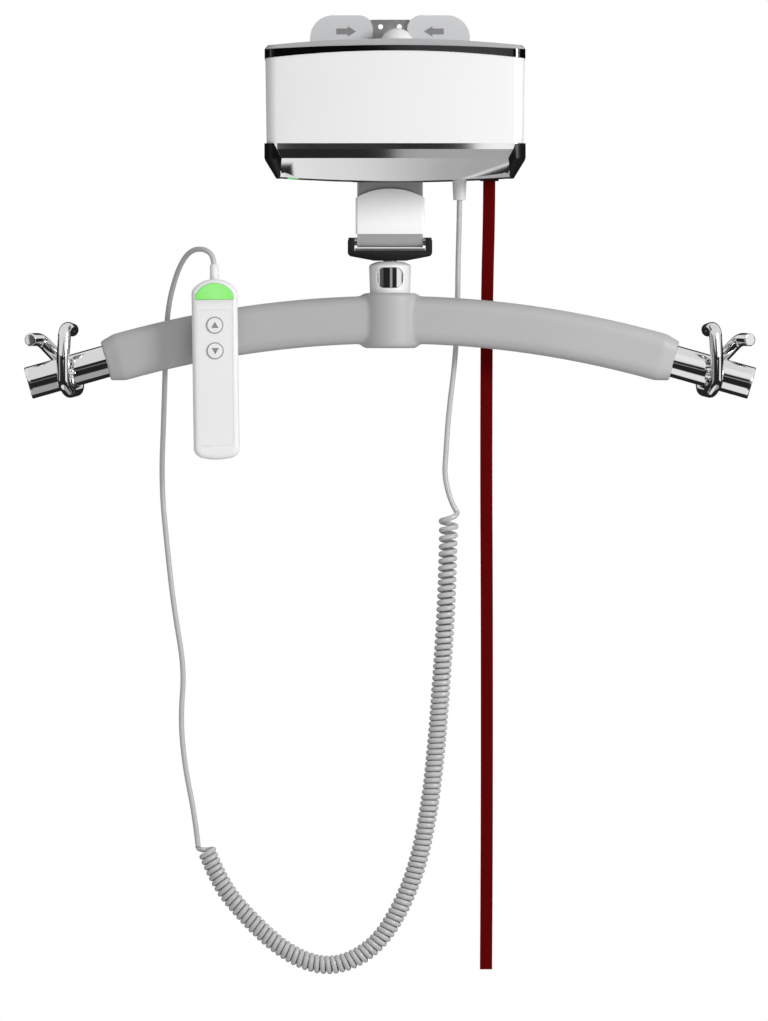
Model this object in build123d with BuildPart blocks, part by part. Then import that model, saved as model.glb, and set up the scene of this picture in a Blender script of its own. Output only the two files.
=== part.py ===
"""A ceiling track hoist with its spreader bar, hand control and cords, in millimetres.

The origin is the middle of the two holes in the hanger plate. +X runs along the ceiling track and the
spreader bar, the front faces -Y and +Z is up. The hoist hangs from its hanger plate.
"""
from build123d import *
from math import asin, cos, pi, radians, sin, sqrt, tan
import os

os.makedirs("parts", exist_ok=True)

# Hanger plate and the two sliding release tabs on top
hole_spacing = 16.5
hole_radius = 2.25
hanger_width = 38.0
hanger_thickness = 4.0
hanger_top = 6.2
hanger_foot = 26.0
hanger_bolt_radius = 3.1
hanger_bolt_spacing = 22.0
tab_inner = 15.2
tab_outer = 70.3
tab_top = 10.0
tab_thickness = 3.0
tab_outer_round = 20.0
tab_inner_round = 12.0
tab_travel = 8.0
tab_gap = 0.6
tab_stem_inner = 30.0
tab_stem_outer = 60.0
dome_x = 6.2
dome_y = -22.0
dome_width = 28.0
dome_height = 9.8

# Casing: widths, heights and walls
casing_x = 4.4
casing_width = 229.0
casing_rear_room = 6.8
casing_bow = 5.0
casing_corner = 12.0
casing_draft = 1.3
wall = 3.0
lid_top = -11.4
lid_top_fall = 6.3
lid_bevel = 7.5
band_top = -17.2
band_top_fall = 3.6
cover_top = -22.0
cover_top_fall = 6.8
cover_bottom = -103.4
trim_step = -108.6
trim_bottom = -116.6
tray_bottom = -136.4
tray_fall = 4.5
tray_inset = 14.0
tray_floor = -130.0
cover_gap = 0.4
corner_block = 22.0
corner_block_height = 18.0
slab_margin = 6.0

# Steel frame, drum and drive inside the casing
plate = 3.0
frame_room = 11.15
frame_top = -24.0
frame_front = -40.0
frame_back_gap = 8.0
frame_foot_gap = 25.0
frame_heel = -96.0
strap_width = 57.7
strap_thickness = 1.6
drum_hub_radius = 19.0
roll_radius = 39.0
flange_rim = 3.0
flange_thickness = 2.0
drum_z = -72.0
shaft_radius = 6.0
bearing_radius = 14.0
bearing_width = 8.0
running_clearance = 0.05
strap_clearance = 0.4

# Things that leave the casing's underside
cord_diameter = 4.6
gland_x = 61.2
cord_y = 30.0
gland_wall = 3.15
gland_flare = 0.85
gland_tip = -152.3
pull_x = 87.5
pull_y = 34.0
pull_width = 10.8
pull_thickness = 1.6
pull_top = -116.0

# Strap end: sleeve, bracket and swivel stud
sleeve_skin = 1.4
sleeve_depth = 8.0
sleeve_top = -142.4
sleeve_shoulder = -150.6
sleeve_bottom = -182.4
bracket_post = 6.0
bracket_top = -186.0
bracket_shoulder = -201.5
bracket_bottom = -205.9
bracket_foot = 14.0
bracket_depth = 18.0
bracket_play = 2.35
bracket_slot_floor = -197.0
pin_radius = 3.5
pin_z = -189.0
wear_plate = 2.2
stud_radius = 6.0
stud_head_rim = 1.5
stud_head = 4.0
stud_tip = -232.0

# Quick-release collar
collar_top = -206.6
collar_shoulder = -211.0
collar_radius = 18.4
collar_foot_radius = 17.6
collar_wall = 3.2
collar_eye_gap = 0.5
window_width = 23.7
window_height = 18.1
window_z = -220.9
window_round = 7.0
button_gap = 0.3
button_radius = 17.2
button_thickness = 4.4
socket_wall = 3.0

# Spreader bar
bar_z = -257.8
bar_arc = 875.0
bar_half_length = 316.0
bar_straight = 74.82
tube_radius = 14.3
tube_wall = 2.6
pad_cover = 6.7
pad_skin = 3.2
pad_round = 11.0
pad_short = 78.0
pad_taper = 12.5
pad_end_drop = 7.0
pad_end_thin = 4.0
pad_edge = 3.0
hub_wall = 11.3
hub_rise = 9.2
hub_sink = 10.7
hub_edge = 3.0
boss_inset = 0.3
end_cap = 2.5
end_plug = 12.0

# Bent-rod sling hooks: how far in from the bar's ends, the rod and how deep it is welded in
hook_inset = 27.8
rod_diameter = 11.5
weld_bite = 1.05

# Hand control
handset_x = -153.3
handset_z = -301.6
handset_lean = 0.83
handset_width = 40.3
handset_height = 158.8
handset_pad_gap = 8.5
handset_depth = 24.0
handset_split = 12.0
handset_crown = 10.6
handset_chin = 4.0
handset_corner = 9.0
handset_edge = 4.5
handset_wall = 2.2
lens_rim = 3.4
lens_drop = 18.4
overlay_gap = 9.0
overlay_foot = 12.4
overlay_width = 30.0
overlay_depth = 0.5
key_drop = 13.3
key_pitch = 22.5
key_radius = 7.2
key_gap = 0.25
boot_wall = 1.55
boot_length = 15.7
hook_strip = 3.0
hook_width = 16.0
hook_drop = 22.0
hook_gap = 0.5

# Curly cord: its outside, how many curls it has and how many turns it takes to open to its full size
coil_outside = 17.0
curls = 96
curl_ease = 1.0

# Worked out from the sizes above
drum_y = roll_radius + strap_thickness / 2 + strap_clearance
flange_radius = roll_radius + flange_rim
casing_depth = 2 * (drum_y + flange_radius + casing_rear_room)
frame_half_width = strap_width / 2 + frame_room
frame_back = casing_depth / 2 - frame_back_gap
frame_foot_back = casing_depth / 2 - frame_foot_gap
cord_radius = cord_diameter / 2
gland_tip_radius = cord_radius + gland_wall
gland_top_radius = gland_tip_radius + gland_flare
sleeve_width = strap_width + 2 * sleeve_skin
bracket_slot = strap_width / 2 + bracket_play
bracket_half_width = bracket_slot + bracket_post
stud_head_radius = stud_radius + stud_head_rim
collar_eye = stud_radius + collar_eye_gap
socket_radius = stud_radius + socket_wall
bar_centre = bar_z - bar_arc
pad_height = 2 * (tube_radius + pad_cover)
pad_depth = 2 * (tube_radius + pad_skin)
pad_half_length = bar_half_length - pad_short
boss_radius = tube_radius - boss_inset
hub_radius = boss_radius + hub_wall
hub_top = bar_z + tube_radius + hub_rise
hub_bottom = bar_z - tube_radius - hub_sink
hook_x = bar_half_length - hook_inset
handset_back = -pad_depth / 2 - handset_pad_gap
handset_front = handset_back - handset_depth
lens_bottom = handset_height / 2 - lens_drop
overlay_top = lens_bottom - overlay_gap
overlay_bottom = overlay_foot - handset_height / 2
key_up = overlay_top - key_drop
key_down = key_up - key_pitch
boot_radius = cord_radius + boot_wall


def casing_plan(inset):
    """Plan of the casing drawn in by inset: bowed front and back, straight sides, round corners."""
    half_width = casing_width / 2 - inset
    half_depth = casing_depth / 2 - inset
    side = half_depth - casing_bow
    with BuildSketch() as plan:
        with BuildLine():
            ThreePointArc((-half_width, -side), (0, -half_depth), (half_width, -side))
            Line((half_width, -side), (half_width, side))
            ThreePointArc((half_width, side), (0, half_depth), (-half_width, side))
            Line((-half_width, side), (-half_width, -side))
        make_face()
        fillet(plan.vertices(), max(casing_corner - inset, 3.0))
    return plan.sketch


def casing_body(high, high_inset, low, low_inset):
    """Solid between two plans of the casing, one above the other."""
    with BuildPart() as body:
        with BuildSketch(Plane(origin=(casing_x, 0, high))):
            add(casing_plan(high_inset))
        with BuildSketch(Plane(origin=(casing_x, 0, low))):
            add(casing_plan(low_inset))
        loft(ruled=True)
    return body.part


def arched_slab(top, top_fall, bottom, bottom_fall):
    """Slab larger than the casing whose top and bottom fall away from the middle to the sides.

    A fall is measured at the casing's side, and a fall of 0 is a flat face. A bottom with a negative
    fall rises to the sides.
    """
    reach = casing_width / 2 + slab_margin
    stretch = (reach / (casing_width / 2)) ** 2
    high = top - top_fall * stretch
    low = bottom - bottom_fall * stretch
    with BuildPart() as slab:
        with BuildSketch(Plane(origin=(casing_x, 0, 0), x_dir=(1, 0, 0), z_dir=(0, -1, 0))):
            with BuildLine():
                if top_fall:
                    ThreePointArc((-reach, high), (0, top), (reach, high))
                else:
                    Line((-reach, high), (reach, high))
                Line((reach, high), (reach, low))
                if bottom_fall:
                    ThreePointArc((reach, low), (0, bottom), (-reach, low))
                else:
                    Line((reach, low), (-reach, low))
                Line((-reach, low), (-reach, high))
            make_face()
        extrude(amount=casing_depth, both=True)
    return slab.part


def upright(x, y):
    """Upright plane through (x, y) that faces the front, for profiles revolved about a vertical axis."""
    return Plane(origin=(x, y, 0), x_dir=(1, 0, 0), z_dir=(0, -1, 0))


def upright_axis(x, y):
    """Vertical axis through (x, y)."""
    return Axis((x, y, 0), (0, 0, 1))


# The lid has a bevelled rim and slots for the hanger plate and the stems of the release tabs
tab_y = -hanger_thickness / 2 - tab_gap - tab_thickness / 2
slot_play = 0.4
stem_slot = tab_stem_outer - tab_stem_inner + tab_travel + 1.0
stem_slot_x = (tab_stem_outer + tab_stem_inner - tab_travel) / 2
lid_low = band_top - band_top_fall
with BuildPart() as top_cover:
    add(casing_body(lid_top, lid_bevel, lid_low, 0.0))
    add(arched_slab(lid_top, lid_top_fall, band_top, band_top_fall), mode=Mode.INTERSECT)
    with BuildSketch(Plane.XY.offset(lid_low)):
        Rectangle(hanger_width + 2 * slot_play, hanger_thickness + 2 * slot_play)
        with Locations((-stem_slot_x, tab_y), (stem_slot_x, tab_y)):
            Rectangle(stem_slot, tab_thickness + 0.6)
    extrude(amount=lid_top - lid_low, mode=Mode.SUBTRACT)
top_cover.part.label = "top_cover"
export_step(top_cover.part, "parts/top_cover.step")

# A moulded dome on the lid hides the battery switch
dome_radius = (dome_width**2 / 4 + dome_height**2) / (2 * dome_height)
with BuildPart() as dome_cap:
    with Locations((dome_x, dome_y, lid_top + dome_height - dome_radius)):
        Sphere(dome_radius)
    split(bisect_by=Plane.XY.offset(lid_top - 0.2), keep=Keep.TOP)
    add(top_cover.part, mode=Mode.SUBTRACT)
dome_cap.part.label = "dome_cap"
export_step(dome_cap.part, "parts/dome_cap.step")

# Dark chrome band round the top of the casing
with BuildPart() as top_band:
    with BuildSketch(Plane(origin=(casing_x, 0, band_top))):
        add(casing_plan(0.0))
        add(casing_plan(wall), mode=Mode.SUBTRACT)
    extrude(amount=cover_top - cover_top_fall - 1.0 - band_top)
    add(arched_slab(band_top, band_top_fall, cover_top, cover_top_fall), mode=Mode.INTERSECT)
top_band.part.label = "top_band"
export_step(top_band.part, "parts/top_band.step")

# Front and rear covers meet at the middle of each side; screws from the tray go into corner blocks
block_x = casing_width / 2 - corner_block / 2
block_y = casing_depth / 2 - corner_block / 2
screw_inset = corner_block - 4.0
screw_x = casing_width / 2 - screw_inset
screw_y = casing_depth / 2 - screw_inset
screw_radius = 2.0
cover_inset = 0.5
with BuildPart() as front_cover:
    cover_foot_inset = cover_inset + casing_draft
    add(casing_body(band_top, cover_inset, cover_bottom, cover_foot_inset))
    add(casing_body(band_top, cover_inset + wall, cover_bottom, cover_foot_inset + wall), mode=Mode.SUBTRACT)
    with BuildPart(mode=Mode.PRIVATE) as blocks:
        with BuildSketch(Plane(origin=(casing_x, 0, cover_bottom))):
            with GridLocations(2 * block_x, 2 * block_y, 2, 2):
                Rectangle(corner_block, corner_block)
        extrude(amount=corner_block_height)
        add(casing_body(band_top, cover_inset + 1, cover_bottom, cover_foot_inset + 1), mode=Mode.INTERSECT)
    add(blocks.part)
    add(arched_slab(cover_top, cover_top_fall, cover_bottom, 0), mode=Mode.INTERSECT)
    with BuildSketch(Plane(origin=(casing_x, 0, cover_bottom))):
        with GridLocations(2 * screw_x, 2 * screw_y, 2, 2):
            Circle(screw_radius)
    extrude(amount=corner_block_height - 2, mode=Mode.SUBTRACT)
    split(bisect_by=Plane.XZ.offset(cover_gap / 2), keep=Keep.TOP)
front_cover.part.label = "front_cover"
export_step(front_cover.part, "parts/front_cover.step")

with BuildPart() as rear_cover:
    mirror(front_cover.part, about=Plane.XZ)
rear_cover.part.label = "rear_cover"
export_step(rear_cover.part, "parts/rear_cover.step")

# Chrome trim in two steps under the covers, with bosses for the screws
trim_inset = casing_draft + 0.6
trim_lip_inset = 0.9
with BuildPart() as trim_ring:
    add(casing_body(cover_bottom, trim_inset, trim_step, casing_draft))
    add(casing_body(trim_step, trim_lip_inset, trim_bottom, trim_lip_inset))
    add(casing_body(cover_bottom, trim_inset + wall, trim_bottom, trim_inset + wall), mode=Mode.SUBTRACT)
trim_ring.part.label = "trim_ring"
export_step(trim_ring.part, "parts/trim_ring.step")

# Bottom tray: a shallow dish whose floor has the strap slot, the cord gland and the pull strap's slot
guide_width = strap_width + 8.3
guide_depth = strap_thickness + 10.4
bezel_width = pull_width + 5.7
bezel_depth = pull_thickness + 10.4
led_x = -85.0
led_y = 20.0 - casing_depth / 2
led_width = 10.0
led_depth = 4.0
nut_radius = gland_top_radius + 1.7
screw_post = 5.0
with BuildPart() as bottom_tray:
    add(casing_body(trim_bottom, casing_draft, tray_bottom - 1.0, tray_inset))
    add(casing_body(trim_bottom, casing_draft + wall, tray_floor, tray_inset - 1.0), mode=Mode.SUBTRACT)
    with BuildSketch(Plane(origin=(casing_x, 0, tray_floor))):
        with GridLocations(2 * screw_x, 2 * screw_y, 2, 2):
            Circle(screw_post)
    extrude(amount=cover_bottom - tray_floor)
    add(arched_slab(cover_bottom, 0, tray_bottom, -tray_fall), mode=Mode.INTERSECT)
    with BuildSketch(Plane.XY.offset(tray_floor)):
        Rectangle(guide_width, guide_depth)
        with Locations((gland_x, cord_y)):
            Circle(gland_top_radius)
        with Locations((pull_x, pull_y)):
            Rectangle(bezel_width, bezel_depth)
        with Locations((led_x, led_y)):
            Rectangle(led_width, led_depth)
    extrude(amount=tray_bottom - tray_floor, mode=Mode.SUBTRACT)
    with BuildSketch(Plane(origin=(casing_x, 0, tray_bottom))):
        with GridLocations(2 * screw_x, 2 * screw_y, 2, 2):
            Circle(screw_radius)
    extrude(amount=cover_bottom - tray_bottom, mode=Mode.SUBTRACT)
bottom_tray.part.label = "bottom_tray"
export_step(bottom_tray.part, "parts/bottom_tray.step")

# Corner caps wrap the trim and the tray at the four corners
cap_skin = 1.2
cap_inset = -0.2
cap_hollow = cap_inset + cap_skin
cap_low_inset = tray_inset - casing_draft + cap_inset
cap_reach = casing_depth / 2 - 23.0
cap_edge = casing_width / 2
cap_bottom = -133.0
cap_low = tray_bottom - 1.0
with BuildPart() as corner_caps:
    add(casing_body(cover_bottom, cap_inset, trim_bottom, cap_inset))
    add(casing_body(trim_bottom, cap_inset, cap_low, cap_low_inset))
    add(casing_body(cover_bottom, cap_hollow, trim_bottom, cap_hollow), mode=Mode.SUBTRACT)
    add(casing_body(trim_bottom, cap_hollow, cap_low, tray_inset + cap_inset), mode=Mode.SUBTRACT)
    add(trim_ring.part, mode=Mode.SUBTRACT)
    add(bottom_tray.part, mode=Mode.SUBTRACT)
    with BuildSketch(Plane(origin=(casing_x, 0, 0), x_dir=(1, 0, 0), z_dir=(0, -1, 0))):
        with BuildLine():
            Polyline(
                (cap_edge - 7.8, cover_bottom),
                (cap_edge - 14.9, trim_bottom),
                (cap_edge - 13.5, cap_bottom),
                (cap_edge + 4, cap_bottom),
                (cap_edge + 4, cover_bottom),
                close=True,
            )
        make_face()
        mirror(about=Plane.YZ)
    extrude(amount=casing_depth, both=True, mode=Mode.INTERSECT)
    with BuildSketch(Plane.XY.offset(cover_bottom)):
        with Locations((casing_x, 0)):
            Rectangle(2 * casing_width, 2 * cap_reach)
    extrude(amount=cap_low - cover_bottom, mode=Mode.SUBTRACT)
corner_caps.part.label = "corner_caps"
export_step(corner_caps.part, "parts/corner_caps.step")

# Screws that hold the tray and the trim to the covers
with BuildPart() as tray_screws:
    with BuildSketch(Plane(origin=(casing_x, 0, tray_floor - 2.0))):
        with GridLocations(2 * screw_x, 2 * screw_y, 2, 2):
            Circle(screw_radius - running_clearance)
    extrude(amount=cover_bottom + corner_block_height - tray_floor)
tray_screws.part.label = "tray_screws"
export_step(tray_screws.part, "parts/tray_screws.step")

# Status lamp lens in the tray's front edge
with BuildPart() as status_lens:
    with BuildSketch(Plane.XY.offset(tray_floor)):
        with Locations((led_x, led_y)):
            RectangleRounded(led_width, led_depth, 0.8)
    extrude(amount=tray_bottom - tray_floor + 1.6)
status_lens.part.label = "status_lens"
export_step(status_lens.part, "parts/status_lens.step")

# Moulded fairlead that guides the lifting strap out of the tray
guide_flange = 1.5
guide_foot = tray_bottom - 0.4
guide_height = 14.0
with BuildPart() as strap_guide:
    with BuildSketch(Plane.XY.offset(guide_foot)):
        RectangleRounded(guide_width, guide_depth, 1.0)
    extrude(amount=guide_height)
    with BuildSketch(Plane.XY.offset(tray_floor)):
        RectangleRounded(guide_width + 2 * guide_flange, guide_depth + 4 * guide_flange, 2.0)
    extrude(amount=3.0)
    with BuildSketch(Plane.XY.offset(guide_foot)):
        Rectangle(strap_width + 2 * strap_clearance, strap_thickness + 2 * strap_clearance)
    extrude(amount=guide_height, mode=Mode.SUBTRACT)
strap_guide.part.label = "strap_guide"
export_step(strap_guide.part, "parts/strap_guide.step")

# Upper-limit switch on the tray floor beside the strap
switch_width = 22.0
switch_depth = 9.0
switch_height = 11.0
switch_y = -guide_depth / 2 - 2 * guide_flange - switch_depth / 2 - 3.5
with BuildPart() as limit_switch:
    with Locations((0, switch_y, tray_floor)):
        Box(switch_width, switch_depth, switch_height, align=(Align.CENTER, Align.CENTER, Align.MIN))
    fillet(limit_switch.edges().filter_by(Axis.Z), 1.0)
limit_switch.part.label = "limit_switch"
export_step(limit_switch.part, "parts/limit_switch.step")

# Cord gland: nut inside the tray, tapered strain relief below it
gland_bore = 12.0
gland_nut = 5.0
with BuildPart() as cord_gland:
    with BuildSketch(upright(gland_x, cord_y)):
        with BuildLine():
            Polyline(
                (0, gland_tip + gland_bore),
                (cord_radius + running_clearance, gland_tip + gland_bore),
                (cord_radius + running_clearance, gland_tip),
                (gland_tip_radius, gland_tip),
                (gland_top_radius, tray_bottom + 2.0),
                (gland_top_radius, tray_floor),
                (nut_radius, tray_floor),
                (nut_radius, tray_floor + gland_nut),
                (0, tray_floor + gland_nut),
                close=True,
            )
        make_face()
    revolve(axis=upright_axis(gland_x, cord_y))
    fillet(cord_gland.edges().filter_by(GeomType.CIRCLE).group_by(Axis.Z)[0].sort_by(SortBy.RADIUS)[-1],
           0.8)
cord_gland.part.label = "cord_gland"
export_step(cord_gland.part, "parts/cord_gland.step")

# Dark bezel round the slot of the pull strap
bezel_foot = tray_bottom + 0.9
bezel_height = 8.0
pull_play = 0.8
with BuildPart() as pull_bezel:
    with BuildSketch(Plane.XY.offset(bezel_foot)):
        with Locations((pull_x, pull_y)):
            RectangleRounded(bezel_width, bezel_depth, 1.5)
            Rectangle(pull_width + 2 * pull_play, pull_thickness + 2 * pull_play, mode=Mode.SUBTRACT)
    extrude(amount=bezel_height)
pull_bezel.part.label = "pull_bezel"
export_step(pull_bezel.part, "parts/pull_bezel.step")

# Bent frame: two bearing plates that stand in the tray, joined by a top plate and a front plate
board_drop = 42.0
standoff_x = 30.0
standoff_high = -34.0
standoff_low = -58.0
standoff_radius = 2.5
board_y = -60.0
front_plate_y = frame_front + 4.0
hanger_bolt_y = hanger_foot / 2 + 3.0
hanger_bolt_places = [(-hanger_bolt_spacing / 2, hanger_bolt_y), (hanger_bolt_spacing / 2, hanger_bolt_y)]
with BuildPart() as frame:
    with BuildSketch(Plane.YZ.offset(-frame_half_width)):
        with BuildLine():
            Polyline(
                (frame_front, frame_top),
                (frame_back, frame_top),
                (frame_back, frame_heel),
                (frame_foot_back, tray_floor),
                (frame_front, tray_floor),
                close=True,
            )
        make_face()
        with Locations((drum_y, drum_z)):
            Circle(bearing_radius, mode=Mode.SUBTRACT)
    extrude(amount=plate)
    mirror(about=Plane.YZ)
    with BuildSketch(Plane.XY.offset(frame_top - plate)):
        with Locations((0, (frame_front + frame_back) / 2)):
            Rectangle(2 * frame_half_width, frame_back - frame_front - 8.0)
    extrude(amount=plate)
    with BuildSketch(Plane.XZ.offset(-front_plate_y - plate)):
        with Locations((0, frame_top - board_drop / 2)):
            Rectangle(2 * frame_half_width, board_drop)
    extrude(amount=plate)
    with BuildSketch(Plane.XY.offset(frame_top)):
        with Locations(hanger_bolt_places):
            Circle(hanger_bolt_radius)
    extrude(amount=-plate, mode=Mode.SUBTRACT)
frame.part.label = "frame"
export_step(frame.part, "parts/frame.step")

# Hanger plate: an upright plate with the two trolley holes and a foot bolted to the frame
hanger_bend = 5.0
with BuildPart() as hanger_plate:
    with BuildSketch(Plane.YZ.offset(-hanger_width / 2)):
        with BuildLine():
            hanger_back = hanger_thickness / 2
            FilletPolyline(
                (-hanger_back, hanger_top),
                (-hanger_back, frame_top),
                (hanger_foot, frame_top),
                radius=hanger_bend,
            )
            Polyline(
                (hanger_foot, frame_top),
                (hanger_foot, frame_top + hanger_thickness),
                (hanger_back, frame_top + hanger_thickness),
                (hanger_back, hanger_top),
                (-hanger_back, hanger_top),
            )
        make_face()
    extrude(amount=hanger_width)
    with BuildSketch(Plane.XZ.offset(hanger_thickness)):
        with Locations((-hole_spacing / 2, 0), (hole_spacing / 2, 0)):
            Circle(hole_radius)
    extrude(amount=-2 * hanger_thickness, mode=Mode.SUBTRACT)
    with BuildSketch(Plane.XY.offset(frame_top + hanger_thickness)):
        with Locations(hanger_bolt_places):
            Circle(hanger_bolt_radius)
    extrude(amount=-hanger_thickness, mode=Mode.SUBTRACT)
    fillet(hanger_plate.edges().filter_by(Axis.Y).group_by(Axis.Z)[-1], 3.0)
hanger_plate.part.label = "hanger_plate"
export_step(hanger_plate.part, "parts/hanger_plate.step")

# Two low-headed bolts with nuts hold the hanger plate's foot
bolt_head_radius = 5.5
bolt_head = 2.3
nut_height = 4.0
bolt_tip = frame_top - plate - nut_height - 1.0
with BuildPart() as hanger_bolts:
    with BuildSketch(Plane.XY.offset(bolt_tip)):
        with Locations(hanger_bolt_places):
            Circle(hanger_bolt_radius - running_clearance)
    extrude(amount=frame_top + hanger_thickness - bolt_tip)
    with BuildSketch(Plane.XY.offset(frame_top + hanger_thickness)):
        with Locations(hanger_bolt_places):
            Circle(bolt_head_radius)
    extrude(amount=bolt_head)
    with BuildSketch(Plane.XY.offset(frame_top - plate)):
        with Locations(hanger_bolt_places):
            RegularPolygon(bolt_head_radius, 6)
    extrude(amount=-nut_height)
hanger_bolts.part.label = "hanger_bolts"
export_step(hanger_bolts.part, "parts/hanger_bolts.step")

# Release tabs: thin blades that slide along the hanger plate on stems under the lid
stem_foot = 1.5
stem_foot_z = frame_top + 0.6
tab_lift = 1.2
tab_low = lid_top - 4.0
stem_x = -(tab_stem_inner + tab_stem_outer) / 2
with BuildPart() as release_tab_left:
    with BuildSketch(Plane.XZ.offset(-tab_y - tab_thickness / 2)) as tab_face:
        with BuildLine():
            Polyline(
                (-tab_outer, tab_low),
                (-tab_outer, tab_top),
                (-tab_inner, tab_top),
                (-tab_inner, tab_low),
                close=True,
            )
        make_face()
        fillet(tab_face.vertices().group_by(Axis.Y)[-1].sort_by(Axis.X)[0], tab_outer_round)
        fillet(tab_face.vertices().group_by(Axis.Y)[-1].sort_by(Axis.X)[-1], tab_inner_round)
    extrude(amount=tab_thickness)
    add(arched_slab(lid_top + tab_lift, lid_top_fall, lid_top - 30.0, 0), mode=Mode.SUBTRACT)
    with BuildSketch(Plane.XY.offset(stem_foot_z)):
        with Locations((stem_x, tab_y)):
            Rectangle(tab_stem_outer - tab_stem_inner, tab_thickness)
    extrude(amount=lid_top + 2.0 - stem_foot_z)
    with BuildSketch(Plane.XY.offset(stem_foot_z)):
        with Locations((stem_x, tab_y)):
            Rectangle(tab_stem_outer - tab_stem_inner, 3 * tab_thickness)
    extrude(amount=stem_foot)
release_tab_left.part.label = "release_tab_left"
export_step(release_tab_left.part, "parts/release_tab_left.step")

with BuildPart() as release_tab_right:
    mirror(release_tab_left.part, about=Plane.YZ)
release_tab_right.part.label = "release_tab_right"
export_step(release_tab_right.part, "parts/release_tab_right.step")

# Two batteries stand to the left of the frame
battery_width = 38.0
battery_length = casing_depth / 2 - 25.0
battery_height = 74.0
battery_x = -frame_half_width - 5.0 - battery_width / 2
lug_x = 12.0
lug_inset = 8.0
with BuildPart() as batteries:
    for battery_y in (-battery_length / 2 - 5.0, battery_length / 2 + 3.0):
        with BuildSketch(Plane.XY.offset(tray_floor)):
            with Locations((battery_x, battery_y)):
                RectangleRounded(battery_width, battery_length, 2.0)
        extrude(amount=battery_height)
        with BuildSketch(Plane.XY.offset(tray_floor + battery_height)):
            for side in (-1, 1):
                with Locations((battery_x + side * lug_x, battery_y + battery_length / 2 - lug_inset)):
                    Rectangle(5.0, 7.0)
        extrude(amount=3.0)
batteries.part.label = "batteries"
export_step(batteries.part, "parts/batteries.step")

# Control board on four standoffs in front of the frame
board_width = 72.0
board_height = 66.0
board_top = -29.0
board_thickness = 1.6
relay_height = 7.0
with BuildPart() as board_standoffs:
    with BuildSketch(Plane.XZ.offset(-front_plate_y)):
        with Locations((-standoff_x, standoff_high), (standoff_x, standoff_high),
                       (-standoff_x, standoff_low), (standoff_x, standoff_low)):
            RegularPolygon(standoff_radius, 6)
    extrude(amount=front_plate_y - board_y)
board_standoffs.part.label = "board_standoffs"
export_step(board_standoffs.part, "parts/board_standoffs.step")

with BuildPart() as control_board:
    with BuildSketch(Plane.XZ.offset(-board_y)):
        with Locations((0, board_top - board_height / 2)):
            RectangleRounded(board_width, board_height, 2.0)
    extrude(amount=board_thickness)
    with BuildSketch(Plane.XZ.offset(-board_y + board_thickness)):
        with Locations((-board_width / 4, board_top - 47.0)):
            Rectangle(22, 14)
        with Locations((14, board_top - 43.0)):
            Rectangle(16, 20)
    extrude(amount=relay_height)
control_board.part.label = "control_board"
export_step(control_board.part, "parts/control_board.step")

# Worm gearbox on the right bearing plate, with the motor in front of it
gearbox_width = 28.0
gearbox_left = frame_half_width + 5.0
gearbox_front = drum_y - 26.2
gearbox_back = drum_y + 27.8
gearbox_top = drum_z + 26.0
gearbox_bottom = drum_z - 32.0
motor_radius = 19.0
motor_length = 72.0
shaft_reach = gearbox_left + 17.0
with BuildPart() as gearbox:
    with BuildSketch(Plane.YZ.offset(gearbox_left)):
        with Locations(((gearbox_front + gearbox_back) / 2, (gearbox_top + gearbox_bottom) / 2)):
            RectangleRounded(gearbox_back - gearbox_front, gearbox_top - gearbox_bottom, 8.0)
    extrude(amount=gearbox_width)
    with BuildSketch(Plane.YZ.offset(gearbox_left)):
        with Locations((drum_y, drum_z)):
            Circle(shaft_radius + running_clearance)
    extrude(amount=shaft_reach + 1.0 - gearbox_left, mode=Mode.SUBTRACT)
gearbox.part.label = "gearbox"
export_step(gearbox.part, "parts/gearbox.step")

motor_x = gearbox_left + gearbox_width / 2 + 2.0
with BuildPart() as motor:
    with BuildSketch(Plane.XZ.offset(-gearbox_front)):
        with Locations((motor_x, drum_z)):
            Circle(motor_radius)
    extrude(amount=motor_length)
    with BuildSketch(Plane.XZ.offset(-gearbox_front + motor_length)):
        with Locations((motor_x, drum_z)):
            Circle(motor_radius / 2)
    extrude(amount=4.0)
    fillet(motor.edges().filter_by(GeomType.CIRCLE).group_by(Axis.Y)[1], 2.0)
motor.part.label = "motor"
export_step(motor.part, "parts/motor.step")

# Drum on its shaft, with two bearings in the frame
with BuildPart() as drum_bearings:
    with BuildSketch(Plane.YZ.offset(frame_half_width - plate - 1.0)):
        with Locations((drum_y, drum_z)):
            Circle(bearing_radius)
            Circle(shaft_radius + running_clearance, mode=Mode.SUBTRACT)
    extrude(amount=bearing_width)
    mirror(about=Plane.YZ)
drum_bearings.part.label = "drum_bearings"
export_step(drum_bearings.part, "parts/drum_bearings.step")

strap_side_play = 0.6
drum_half = strap_width / 2 + strap_side_play
shaft_stub = 4.0
with BuildPart() as drum_shaft:
    with BuildSketch(Plane.YZ.offset(-frame_half_width - shaft_stub)):
        with Locations((drum_y, drum_z)):
            Circle(shaft_radius)
    extrude(amount=frame_half_width + shaft_stub + shaft_reach)
drum_shaft.part.label = "drum_shaft"
export_step(drum_shaft.part, "parts/drum_shaft.step")

with BuildPart() as drum:
    with BuildSketch(Plane.YZ.offset(-drum_half)):
        with Locations((drum_y, drum_z)):
            Circle(drum_hub_radius)
    extrude(amount=2 * drum_half)
    with BuildSketch(Plane.YZ.offset(drum_half)):
        with Locations((drum_y, drum_z)):
            Circle(flange_radius)
    extrude(amount=flange_thickness)
    with BuildSketch(Plane.YZ.offset(-drum_half)):
        with Locations((drum_y, drum_z)):
            Circle(flange_radius)
    extrude(amount=-flange_thickness)
    add(drum_shaft.part, mode=Mode.SUBTRACT)
drum.part.label = "drum"
export_step(drum.part, "parts/drum.step")

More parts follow.
